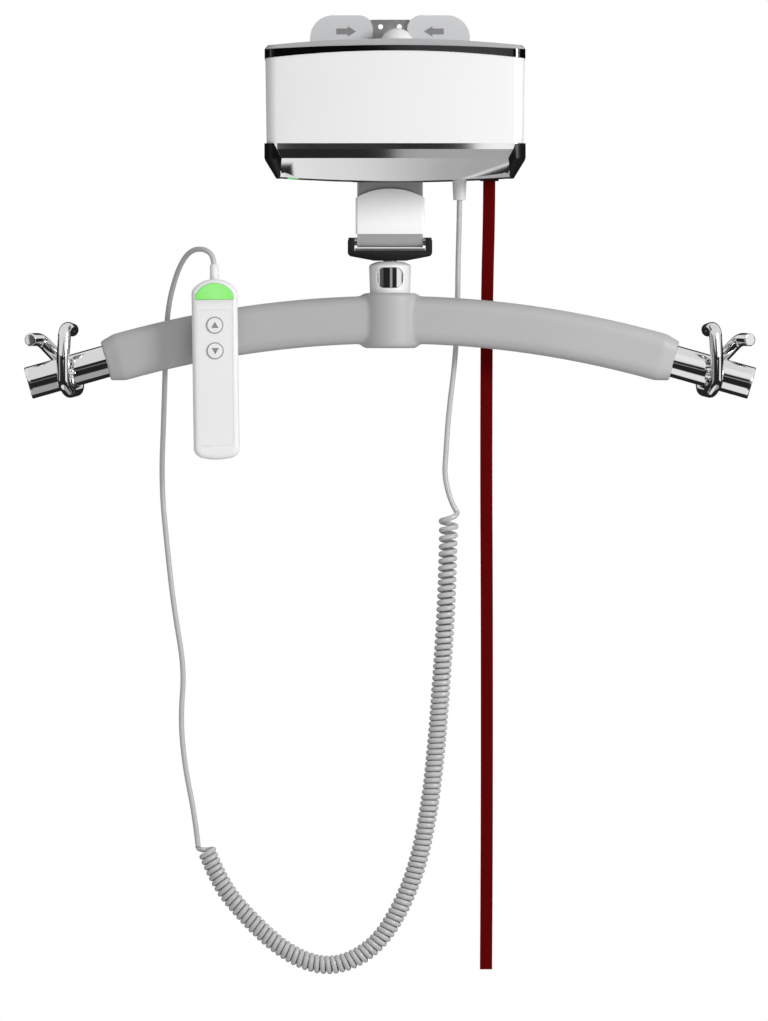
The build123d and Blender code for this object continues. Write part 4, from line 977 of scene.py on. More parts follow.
    @staticmethod
    def flat_mark(name: str, outlines: Sequence[Sequence[tuple[float, float]]], place: Matrix,
                  thickness: float) -> bpy.types.Object:
        """Make a thin printed mark from outlines in a plane; a second outline is a hole in the first.

        Args:
            name: the object's name.
            outlines: closed outlines in metres, in the plane's own X and Y.
            place: the plane's place in the row frame; its Z points out of the surface.
            thickness: how proud the mark stands, in metres.

        Returns:
            The object.
        """
        data = bpy.data.curves.new(name, "CURVE")
        data.dimensions = "2D"
        data.fill_mode = "BOTH"
        data.extrude = thickness / 2.0
        for outline in outlines:
            spline = data.splines.new("POLY")
            spline.points.add(len(outline) - 1)
            for control, (x, y) in zip(spline.points, outline):
                control.co = (x, y, 0.0, 1.0)
            spline.use_cyclic_u = True
        holder = Maker.link(name, data)
        mesh = Maker.plain_mesh(holder)
        mesh.transform(place)
        bpy.data.objects.remove(holder)
        bpy.data.curves.remove(data)
        work = bmesh.new()
        work.from_mesh(mesh)
        bmesh.ops.remove_doubles(work, verts=work.verts, dist=1e-7)
        bmesh.ops.recalc_face_normals(work, faces=work.faces)
        work.to_mesh(mesh)
        work.free()
        return Maker.link(name, mesh)


class RowMaker:
    """Repeats a small shape along a line with Geometry Nodes."""

    def __init__(self) -> None:
        """Build the node tree with its named inputs."""
        tree = bpy.data.node_groups.new("row", "GeometryNodeTree")
        kinds = (("Line", "Geometry"), ("Shape", "Object"), ("Spacing", "Float"), ("Variation", "Float"),
                 ("Seed", "Int"), ("Finish", "Material"))
        sockets = {name: tree.interface.new_socket(name, in_out="INPUT", socket_type=f"NodeSocket{kind}")
                   for name, kind in kinds}
        tree.interface.new_socket("Row", in_out="OUTPUT", socket_type="NodeSocketGeometry")
        self.tree = tree
        self.keys = {name: socket.identifier for name, socket in sockets.items()}
        start = tree.nodes.new("NodeGroupInput")
        curve = tree.nodes.new("GeometryNodeMeshToCurve")
        dots = tree.nodes.new("GeometryNodeCurveToPoints")
        dots.mode = "LENGTH"
        shape = tree.nodes.new("GeometryNodeObjectInfo")
        chance = tree.nodes.new("FunctionNodeRandomValue")
        chance.data_type = "FLOAT"
        low = Number(tree, start.outputs["Variation"])
        least, most = 1.0 - low, 1.0 + low
        place = tree.nodes.new("GeometryNodeInstanceOnPoints")
        real = tree.nodes.new("GeometryNodeRealizeInstances")
        coat = tree.nodes.new("GeometryNodeSetMaterial")
        end = tree.nodes.new("NodeGroupOutput")
        ranges = {socket.identifier: socket for socket in chance.inputs}
        for source, target in (
                (start.outputs["Line"], curve.inputs["Mesh"]), (curve.outputs["Curve"], dots.inputs["Curve"]),
                (start.outputs["Spacing"], dots.inputs["Length"]),
                (start.outputs["Shape"], shape.inputs["Object"]),
                (least.socket, ranges["Min_001"]), (most.socket, ranges["Max_001"]),
                (start.outputs["Seed"], ranges["Seed"]), (dots.outputs["Points"], place.inputs["Points"]),
                (dots.outputs["Rotation"], place.inputs["Rotation"]),
                (shape.outputs["Geometry"], place.inputs["Instance"]),
                (chance.outputs[1], place.inputs["Scale"]),
                (place.outputs["Instances"], real.inputs["Geometry"]),
                (real.outputs["Geometry"], coat.inputs["Geometry"]),
                (start.outputs["Finish"], coat.inputs["Material"]),
                (coat.outputs["Geometry"], end.inputs["Row"])):
            tree.links.new(source, target)

    def row(self, name: str, lines: Sequence[Sequence[Point | Vector]], shape: bpy.types.Object,
            spacing: float, variation: float, seed: int, material: bpy.types.Material) -> bpy.types.Object:
        """Repeat a shape along lines and keep the result as one plain mesh.

        Args:
            name: the new object's name.
            lines: points of each line, in metres.
            shape: the shape, whose Z runs along the line.
            spacing: distance between two of them, in metres.
            variation: how far their sizes vary, as a share.
            seed: seed of that variation.
            material: the material that they get.

        Returns:
            The object.
        """
        mesh = bpy.data.meshes.new(f"{name}_line")
        points = [tuple(point) for line in lines for point in line]
        edges, first = [], 0
        for line in lines:
            edges += [(first + n, first + n + 1) for n in range(len(line) - 1)]
            first += len(line)
        mesh.from_pydata(points, edges, [])
        holder = Maker.link(name, mesh)
        modifier = holder.modifiers.new("row", "NODES")
        modifier.node_group = self.tree
        for key, value in (("Shape", shape), ("Spacing", spacing), ("Variation", variation), ("Seed", seed),
                           ("Finish", material)):
            modifier[self.keys[key]] = value
        plain = Maker.plain_mesh(holder)
        holder.modifiers.clear()
        holder.data = plain
        bpy.data.meshes.remove(mesh)
        Maker.shade(holder, 40.0)
        return holder


@dataclass(frozen=True)
class Lamp:
    """A soft rectangular lamp aimed at the hoist.

    Attributes:
        size: its width and height, in metres.
        power: its power in watts.
        mirrored: whether gloss shows it.
    """

    name: str
    place: Point
    size: float
    power: float
    mirrored: bool = False


@dataclass
class Studio:
    """Camera, lamps, surroundings and floor.

    The mirrored room is described by directions: each pair of edges is where a light area starts and where it
    is full, in the parts x, y and z of the direction.
    """

    distance: float = 28.0
    view_height: float = 0.8985
    middle: Point = (-0.00528, 0.0, -0.4257)
    sensor: float = 36.0
    aim: Point = (0.0, 0.0, -0.3)
    floor_height: float = -3.05
    floor_reach: float = 9.0
    floor_shade: float = 0.86
    floor_lift: float = 0.44
    ambient: float = 0.45
    ambient_tilt: float = 0.35
    darkest: float = 0.02
    lights: tuple[Lamp, ...] = (
        Lamp("key_lamp", (1.3, -1.3, 0.25), 0.5, 22.0, mirrored=True),
        Lamp("fill_lamp", (0.4, -2.4, -1.1), 1.4, 12.0),
        Lamp("back_lamp", (0.6, 2.6, 1.2), 1.4, 22.0))

    def camera(self) -> None:
        """Set the camera in front of the hoist, as far back as a long lens needs."""
        data = bpy.data.cameras.new("camera")
        data.sensor_fit = "VERTICAL"
        data.sensor_height = data.sensor_width = self.sensor
        data.lens = self.sensor * self.distance / self.view_height
        data.clip_start, data.clip_end = 0.1, 100.0
        camera = bpy.data.objects.new("camera", data)
        camera.location = (self.middle[0], self.middle[1] - self.distance, self.middle[2])
        camera.rotation_euler = (math.pi / 2.0, 0.0, 0.0)
        bpy.context.scene.collection.objects.link(camera)
        bpy.context.scene.camera = camera

    def light(self) -> None:
        """Light the hoist from the right and front, with a weak fill and a lamp behind."""
        for lamp in self.lights:
            data = bpy.data.lights.new(lamp.name, "AREA")
            data.shape = "RECTANGLE"
            data.size = data.size_y = lamp.size
            data.energy = lamp.power
            holder = bpy.data.objects.new(lamp.name, data)
            holder.location = lamp.place
            holder.visible_glossy = lamp.mirrored
            way = Vector(self.aim) - Vector(lamp.place)
            holder.rotation_euler = way.to_track_quat("-Z", "Y").to_euler()
            bpy.context.scene.collection.objects.link(holder)

    @staticmethod
    def overhead(x: Number, y: Number, z: Number) -> Number:
        """Light ceiling, which reaches lower at both sides and ends behind the hoist.

        Args:
            x: direction to the right.
            y: direction to the rear.
            z: direction upwards.

        Returns:
            The light from there.
        """
        lower = 0.085 * x.size().ramp(0.20, 0.30)
        return 0.85 * (z + lower).ramp(0.265, 0.285) * (1.0 - y.ramp(0.66, 0.74))

    @staticmethod
    def underfoot(x: Number, y: Number, z: Number) -> Number:
        """Light ground in front, brighter to the left of a slanting line.

        Args:
            x: direction to the right.
            y: direction to the rear.
            z: direction upwards.

        Returns:
            The light from there.
        """
        left = 1.0 - (x - 1.5 * (z + 0.9)).ramp(-0.08, 0.02)
        return (1.0 - z.ramp(-0.84, -0.74)) * (1.0 - y.ramp(0.12, 0.24)) * (0.42 + 0.52 * left)

    @staticmethod
    def ahead(x: Number, y: Number, z: Number) -> Number:
        """Window above the hoist's middle and a dimmer level strip, both in front and to the right.

        Args:
            x: direction to the right.
            y: direction to the rear.
            z: direction upwards.

        Returns:
            The light from there.
        """
        front = (y * -1.0).ramp(0.1, 0.4)
        window = front * x.band((0.10, 0.112), (0.22, 0.28)) * z.ramp(0.10, 0.16)
        strip = 0.42 * front * x.band((-0.005, 0.005), (0.20, 0.28)) * z.band((-0.10, -0.06), (0.03, 0.06))
        return window.most(strip)

    @staticmethod
    def sideways(x: Number, y: Number, z: Number) -> Number:
        """Bright upright doors to the right and the left, and a dim wall at the left.

        Args:
            x: direction to the right.
            y: direction to the rear.
            z: direction upwards.

        Returns:
            The light from there.
        """
        upright = (1.0 - y.ramp(-0.1, 0.1)) * (1.0 - z.size().ramp(0.30, 0.40))
        right_door = upright * x.band((0.62, 0.68), (0.93, 0.97))
        left_door = 0.8 * upright * x.band((-0.96, -0.94), (-0.90, -0.88))
        left_wall = 0.10 * upright * (1.0 - x.ramp(-0.66, -0.60))
        return right_door.most(left_door).most(left_wall)

    def surroundings(self) -> None:
        """White for the camera; for gloss, a dark room with a light ceiling, ground, window and doors."""
        world = bpy.data.worlds.new("surroundings")
        bpy.context.scene.world = world
        world.use_nodes = True
        tree = world.node_tree
        tree.nodes.clear()
        output = tree.nodes.new("ShaderNodeOutputWorld")
        background = tree.nodes.new("ShaderNodeBackground")
        background.inputs["Color"].default_value = (1.0, 1.0, 1.0, 1.0)
        tree.links.new(background.outputs[0], output.inputs["Surface"])
        path = tree.nodes.new("ShaderNodeLightPath")
        seen, gloss, through = (Number(tree, path.outputs[f"Is {name} Ray"])
                                for name in ("Camera", "Glossy", "Transmission"))
        spot = tree.nodes.new("ShaderNodeTexCoord")
        split = tree.nodes.new("ShaderNodeSeparateXYZ")
        tree.links.new(spot.outputs["Generated"], split.inputs[0])
        x, y, z = (Number(tree, socket) for socket in split.outputs)
        room = self.overhead(x, y, z).most(self.underfoot(x, y, z)).most(self.ahead(x, y, z))
        room = room.most(self.sideways(x, y, z)).most(self.darkest)
        mirrored = gloss * (1.0 - seen) * room
        soft = self.ambient * (1.0 + self.ambient_tilt * z)
        level = seen.most(through).most(mirrored) + (1.0 - seen.most(gloss).most(through)) * soft
        tree.links.new(level.socket, background.inputs["Strength"])

    def floor(self) -> None:
        """Lay a pale floor below the fully lowered bar, lifted towards white where the camera sees it."""
        reach, height = self.floor_reach, self.floor_height
        corners = [(-reach, -reach, height), (reach, -reach, height), (reach, reach, height),
                   (-reach, reach, height)]
        piece = Maker.mesh("floor", corners, [[0, 1, 2, 3]])
        paint = Paint("floor_paint", (self.floor_shade,) * 3, 0.7, Emission_Strength=1.0)
        paint.feed("Roughness", 0.65 + 0.1 * paint.noise(scale=6.0))
        seen = Number(paint.tree, paint.node("ShaderNodeLightPath").outputs["Is Camera Ray"])
        paint.feed("Emission Color", self.floor_lift * seen)
        piece.data.materials.append(paint.material)
        piece.visible_glossy = False

    def build(self) -> None:
        """Make the whole studio."""
        self.camera()
        self.light()
        self.surroundings()
        self.floor()


@dataclass(frozen=True)
class HungCord:
    """A stretch of cord or tape: its width across, what its far end is and how stiff it is."""

    width: float
    far_end: str
    stiffness: str

    def declare(self, piece: bpy.types.Object, node: str, line: Sequence[Vector]) -> None:
        """Stand a piece in for a node: hide the node and log the piece's length.

        Args:
            piece: the piece that stands in.
            node: the node that it stands for.
            line: the points that it follows, from where it leaves the object.
        """
        length = Maker.reach(line)[-1]
        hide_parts(node)
        log.info("piece %s holds %.3f m", piece.name, length)


@dataclass
class HandControlCord:
    """The hand control's cord: straight lead, curly length, lead behind the bar and loop to the boot."""

    diameter: float = 4.6 * MM
    coil_outside: float = 17.0 * MM
    first_outside: float = 19.0 * MM
    first_reach: float = 20.0 * MM
    pitch: float = 5.06 * MM
    open_pitch: float = 6.8 * MM
    open_reach: float = 160.0 * MM
    start_pitch: float = 2.4 * MM
    start_reach: float = 34.0 * MM
    end_pitch: float = 26.0 * MM
    end_reach: float = 7.0 * MM
    lead_sides: int = 14
    coil_sides: int = 10
    lead_gap: float = 2.2 * MM
    axis_gap: float = 0.4 * MM
    coil_gap: float = 2.1 * MM
    jacket: CordJacket = CordJacket("cord_jacket", (0.50, 0.50, 0.505))
    upper: list[Point] = field(default_factory=lambda: [
        (0.0612, 0.030, -0.152), (0.0609, 0.030, -0.178), (0.0599, 0.030, -0.208), (0.0596, 0.030, -0.252),
        (0.0572, 0.030, -0.296), (0.0516, 0.030, -0.340), (0.0492, 0.030, -0.376), (0.0479, 0.030, -0.396),
        (0.0540, 0.030, -0.4195), (0.0590, 0.030, -0.427)])
    axis: list[Point] = field(default_factory=lambda: [
        (0.0520, 0.030, -0.427), (0.0510, 0.030, -0.466), (0.0493, 0.030, -0.516), (0.0453, 0.030, -0.575),
        (0.0410, 0.030, -0.633), (0.0346, 0.030, -0.690), (0.0226, 0.030, -0.747), (-0.0020, 0.030, -0.798),
        (-0.0300, 0.030, -0.822), (-0.0600, 0.030, -0.828), (-0.0920, 0.030, -0.815),
        (-0.1240, 0.030, -0.786), (-0.1515, 0.030, -0.7529), (-0.1635, 0.030, -0.720)])
    lower: list[Point] = field(default_factory=lambda: [
        (-0.1690, 0.030, -0.7215), (-0.1720, 0.030, -0.694), (-0.1810, 0.030, -0.650),
        (-0.1846, 0.030, -0.608), (-0.1810, 0.030, -0.566), (-0.1900, 0.030, -0.514),
        (-0.1960, 0.030, -0.462), (-0.2016, 0.030, -0.402), (-0.1992, 0.030, -0.342),
        (-0.1978, 0.030, -0.292)])
    loop: list[Point] = field(default_factory=lambda: [
        (-0.1978, 0.030, -0.292), (-0.1971, 0.030, -0.267), (-0.1950, 0.026, -0.245),
        (-0.1906, 0.014, -0.226), (-0.1840, -0.003, -0.208), (-0.1750, -0.020, -0.1965),
        (-0.1630, -0.034, -0.1955), (-0.1545, -0.038, -0.2025), (-0.1545, -0.038, -0.215)])

    def lead(self, shop: Shop, name: str, node: str, route: Sequence[Point]) -> None:
        """Make one straight stretch of the cord.

        Args:
            shop: where finishes come from.
            name: the piece's name.
            node: the node that it stands for.
            route: its control points.
        """
        line = Maker.even_line(Maker.smooth_line(route), self.lead_gap)
        piece = Maker.section(name, line, Maker.ring(self.diameter / 2.0, self.lead_sides), ALONG_X)
        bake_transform(piece)
        HungCord(self.diameter, "object", "medium").declare(piece, node, line)
        shop.coat(piece, self.jacket, "cord_grey")

    def pitch_at(self, at: float, total: float) -> float:
        """Distance between two curls, wider at the top and opened out where the curls meet the leads.

        Args:
            at: metres along the axis.
            total: the axis's whole length.

        Returns:
            The pitch, in metres.
        """
        pitch = self.pitch
        for more, reach, off in ((self.open_pitch - self.pitch, self.open_reach, at),
                                 (self.start_pitch, self.start_reach, at),
                                 (self.end_pitch, self.end_reach, min(at, total - at))):
            pitch += more * max(0.0, 1.0 - off / reach)
        return pitch

    def helix(self) -> list[Vector]:
        """Points of the curly length, wound round its axis in a whole number of turns."""
        axis = Maker.even_line(Maker.smooth_line(self.axis), self.axis_gap)
        frames = Maker.frames(axis, ALONG_X)
        step = (axis[1] - axis[0]).length
        total = step * (len(axis) - 1)
        places = [step * number for number in range(len(axis))]
        gains = (math.tau * step / self.pitch_at(at, total) for at in places[:-1])
        turns = list(accumulate(gains, initial=0.0))
        whole = math.tau * round(turns[-1] / math.tau) / turns[-1]
        radius = (self.coil_outside - self.diameter) / 2.0
        wider = (self.first_outside - self.coil_outside) / 2.0
        points = []
        for place, (_, side, third), turn, at in zip(axis, frames, turns, places):
            reach = radius + wider * max(0.0, 1.0 - at / self.first_reach)
            angle = turn * whole
            points.append(place + side * (reach * math.cos(angle)) + third * (reach * math.sin(angle)))
        return points

    def coil(self, shop: Shop) -> None:
        """Make the curly length, which hangs from the strap end.

        Args:
            shop: where finishes come from.
        """
        line = Maker.even_line(self.helix(), self.coil_gap)
        piece = Maker.section("cord_curls", line, Maker.ring(self.diameter / 2.0, self.coil_sides), ALONG_Z)
        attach(piece, "carriage")
        HungCord(self.diameter, "object", "medium").declare(piece, "cord_coil", line)
        shop.coat(piece, self.jacket, "cord_grey")

    def build(self, shop: Shop) -> None:
        """Make all four stretches.

        Args:
            shop: where finishes come from.
        """
        self.lead(shop, "cord_lead_upper", "cord_upper_lead", self.upper)
        self.coil(shop)
        self.lead(shop, "cord_lead_lower", "cord_lower_lead", self.lower)
        self.lead(shop, "cord_lead_loop", "cord_loop", self.loop)


@dataclass
class EmergencyPull:
    """Red tape that hangs from the casing."""

    width: float = 10.8 * MM
    thickness: float = 1.6 * MM
    edge: float = 0.7 * MM
    gap: float = 4.0 * MM
    tape: Webbing = Webbing("red_tape", (0.108, 0.0, 0.0005), half_width=5.4 * MM, middle=85.3 * MM,
                            warp=0.9 * MM, weft=0.7 * MM, weave=Weave.RIBBED, edge=1.4 * MM, sheen=0.0,
                            shine=0.06)
    route: list[Point] = field(default_factory=lambda: [
        (0.0875, 0.034, -0.116), (0.0875, 0.034, -0.160), (0.0853, 0.034, -0.240), (0.0847, 0.034, -0.390),
        (0.0854, 0.034, -0.516), (0.0853, 0.034, -0.733), (0.0846, 0.034, -0.830)])

    def build(self, shop: Shop) -> None:
        """Make the tape and dress its anchor.

        Args:
            shop: where finishes come from.
        """
        line = Maker.even_line(Maker.smooth_line(self.route), self.gap)
        outline = Maker.oblong(self.width / 2.0, self.thickness / 2.0, self.edge, STRAP_EDGE_STEPS)
        piece = Maker.section("pull_tape", line, outline, ALONG_X)
        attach(piece, "pull")
        HungCord(self.width, "bare", "limp").declare(piece, "pull_strap", line)
        shop.coat(piece, self.tape, "pull_red")
        shop.dress(BLACK_PLASTIC, "pull_anchor")


WHITE_COVER = MouldedPlastic("white_cover", (0.79,) * 3, grain=1500.0, grain_depth=0.002 * MM, shine=0.35)
# The sleeve's white is brighter than the same satin plastic of the case: painted light that makes up for the
# casing's shadow on it.
SLEEVE_WHITE_PAINTED_LIGHT = MouldedPlastic("white_sleeve", (0.95,) * 3, roughness=0.4, grain=1100.0, shine=0.35)
WHITE_CASE = MouldedPlastic("white_case", (0.82,) * 3, roughness=0.42, grain=1100.0, grain_depth=0.015 * MM,
                            shine=0.3)
TAB_PLASTIC = MouldedPlastic("tab_plastic", (0.66, 0.67, 0.68), roughness=0.22, grain=700.0,
                             grain_depth=0.006 * MM, coat=0.4)
LID_GREY = MouldedPlastic("lid_grey", (0.40, 0.40, 0.41), roughness=0.2, grain=600.0, grain_depth=0.008 * MM,
                          coat=0.5)
BLACK_PLASTIC = MouldedPlastic("black_plastic", (0.006, 0.006, 0.007), roughness=0.25, grain=700.0,
                               grain_depth=0.006 * MM, shine=0.25)
KEY_GREY = MouldedPlastic("key_grey", (0.81,) * 3, roughness=0.45, grain=1200.0, grain_depth=0.012 * MM,
                          shine=0.3)
OVERLAY_FILM = MouldedPlastic("overlay_film", (0.82,) * 3, roughness=0.36, grain=1800.0, shine=0.3)
ARROW_INK = MouldedPlastic("arrow_ink", (0.24, 0.24, 0.245), roughness=0.5, grain=1500.0,
                           grain_depth=0.004 * MM)
RING_INK = MouldedPlastic("ring_ink", (0.30, 0.30, 0.305), roughness=0.5, grain=1500.0,
                          grain_depth=0.004 * MM)
BATTERY_CASE = MouldedPlastic("battery_case", (0.05, 0.05, 0.052), roughness=0.5, grain_depth=0.02 * MM)
SILVER_TRAY = Metal("silver_tray", (0.86, 0.86, 0.87), roughness=0.17)
DARK_CHROME = Metal("dark_chrome", (0.12, 0.12, 0.125), roughness=0.1, lines=(0.06, 1.0, 1.0),
                    line_depth=0.008 * MM)
TRIM_CHROME = Metal("trim_chrome", (0.86, 0.86, 0.87), roughness=0.07, lines=(0.06, 1.0, 1.0))
CHROME = Metal("chrome", (0.78, 0.78, 0.79), roughness=0.07, lines=(0.1, 1.0, 1.0))
TURNED_STEEL = Metal("turned_steel", (0.62, 0.62, 0.63), roughness=0.2, lines=(1.0, 1.0, 6.0),
                     line_depth=0.01 * MM)
CAST_ALUMINIUM = Metal("cast_aluminium", (0.55, 0.55, 0.56), roughness=0.42, line_depth=0.03 * MM)
ZINC = ZincPlate("zinc_plate", (0.46, 0.46, 0.47))
BLACK_COAT = PowderCoat("black_coat", (0.010, 0.010, 0.0105))
PAD_GREY = PadSkin("pad_grey", (0.42, 0.42, 0.423))
STRAP_GREY = Webbing("strap_grey", (0.37,) * 3, half_width=28.85 * MM, middle=0.0, warp=1.3 * MM,
                     weft=1.1 * MM)
GREEN_BOARD = CircuitBoard("green_board", (0.015, 0.16, 0.05))
HANDSET_LAMP = LampLens("handset_lamp", (0.22, 0.75, 0.14), glow=0.2, middle=(-0.1544, -0.232), reach=0.02)
STATUS_LAMP = LampLens("status_lamp", (0.03, 0.62, 0.10), glow=0.5, middle=(-0.085, -0.135), reach=0.008)


@dataclass
class Casing:
    """The hoist's casing, its hanger and everything inside it."""

    mark_thickness: float = 0.12 * MM
    arrow_out: float = 38.5 * MM
    arrow_front: float = -5.65 * MM
    arrow_height: float = -4.2 * MM
    arrow_tip: float = 8.8 * MM
    arrow_neck: float = 1.2 * MM
    arrow_half: float = 4.6 * MM
    stem_half: float = 2.6 * MM

    def arrow(self, shop: Shop, side: Side) -> None:
        """Put the arrow on a release tab; it points to the middle.

        Args:
            shop: where finishes come from.
            side: the tab's side.
        """
        out, name = side.value, side.name.lower()
        plate = Matrix(((1, 0, 0, out * self.arrow_out), (0, 0, -1, self.arrow_front),
                        (0, 1, 0, self.arrow_height), (0, 0, 0, 1)))
        tip, neck, half, stem = -self.arrow_tip, -self.arrow_neck, self.arrow_half, self.stem_half
        outline = [(tip, 0.0), (neck, half), (neck, stem), (-tip, stem), (-tip, -stem), (neck, -stem),
                   (neck, -half)]
        piece = Maker.flat_mark(f"tab_arrow_{name}", [[(x * out, y) for x, y in outline]], plate,
                                self.mark_thickness)
        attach(piece, f"{name}_tab")
        shop.coat(piece, ARROW_INK, "tab_plastic")

    def build(self, shop: Shop) -> None:
        """Dress the casing and add the printed marks.

        Args:
            shop: where finishes come from.
        """
        for node, finish, slot in (
                ("top_cover", LID_GREY, "lid_grey"), ("dome_cap", WHITE_COVER, "white_plastic"),
                ("top_band", DARK_CHROME, "black_chrome"), ("front_cover", WHITE_COVER, "white_plastic"),
                ("rear_cover", WHITE_COVER, "white_plastic"), ("trim_ring", TRIM_CHROME, "black_chrome"),
                ("bottom_tray", SILVER_TRAY, "silver_plastic"),
                ("corner_caps", BLACK_PLASTIC, "black_plastic"),
                ("cord_gland", WHITE_CASE, "white_satin_plastic")):
            shop.smooth_copy(node, "hoist", finish, slot)
        shop.dress(STATUS_LAMP, "status_lens")
        shop.dress(BLACK_PLASTIC, "strap_guide", "limit_switch", "pull_bezel")
        shop.dress(ZINC, "hanger_plate", "hanger_bolts", "frame", "motor", "tray_screws")
        shop.dress(BATTERY_CASE, "batteries")
        shop.dress(TURNED_STEEL, "board_standoffs", "drum_bearings", "drum_shaft")
        shop.dress(GREEN_BOARD, "control_board")
        shop.dress(CAST_ALUMINIUM, "gearbox", "drum")
        shop.dress(TAB_PLASTIC, "release_tab_left", "release_tab_right")
        for side in Side:
            self.arrow(shop, side)


@dataclass
class LiftingStrap:
    """Grey webbing from the drum to the bracket, with its wound turns."""

    half_width: float = 28.85 * MM
    thickness: float = 1.6 * MM
    wound_share: float = 0.92
    wound_edge: float = 0.5 * MM
    axis_y: float = 40.2 * MM
    axis_z: float = -72.0 * MM
    first_radius: float = 19.8 * MM
    last_radius: float = 38.2 * MM
    turn_steps: int = 72
    stretch_top: float = -110.0 * MM
    stretch_bottom: float = -142.5 * MM

    def roll(self, shop: Shop) -> None:
        """Wind the webbing on the drum, turn over turn, with its outer end at the front.

        Args:
            shop: where finishes come from.
        """
        turns = (self.last_radius - self.first_radius) / self.thickness
        line = []
        for step in range(round(turns * self.turn_steps) + 1):
            share = step / (turns * self.turn_steps)
            radius = self.first_radius + (self.last_radius - self.first_radius) * share
            angle = math.pi + math.tau * turns * (share - 1.0)
            line.append(Vector((0.0, self.axis_y + radius * math.cos(angle),
                                self.axis_z + radius * math.sin(angle))))
        half_depth = self.thickness * self.wound_share / 2.0
        outline = Maker.oblong(self.half_width, half_depth, self.wound_edge, STRAP_EDGE_STEPS)
        piece = Maker.section("wound_webbing", line, outline, ALONG_X)
        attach(piece, "drum")
        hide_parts("strap_roll")
        shop.coat(piece, STRAP_GREY, "strap_grey")

    def build(self, shop: Shop) -> None:
        """Wind the roll and stand a merged copy in for the strap.

        Args:
            shop: where finishes come from.
        """
        self.roll(shop)
        mesh, work = shop.merged("lift_strap", "lifting_webbing")
        work.to_mesh(mesh)
        work.free()
        piece = Maker.link("lifting_webbing", mesh)
        Maker.shade(piece)
        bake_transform(piece)
        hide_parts("lift_strap")
        shop.coat(piece, STRAP_GREY, "strap_grey")


@dataclass
class StrapEnd:
    """Sleeve, bracket and stud on the strap's end."""

    sleeve_bevel: float = 0.3 * MM
    bracket_bevel: float = 0.4 * MM
    bracket_corner: float = 3.0 * MM

    def build(self, shop: Shop) -> None:
        """Dress the strap end.

        Args:
            shop: where finishes come from.
        """
        shop.smooth_copy("strap_sleeve", "carriage", SLEEVE_WHITE_PAINTED_LIGHT, "white_satin_plastic",
                         bevel=self.sleeve_bevel)
        shop.smooth_copy("strap_bracket", "carriage", BLACK_COAT, "black_steel", bevel=self.bracket_bevel,
                         corner=self.bracket_corner)
        shop.dress(TURNED_STEEL, "bracket_pin", "swivel_stud", "bracket_wear_plate")


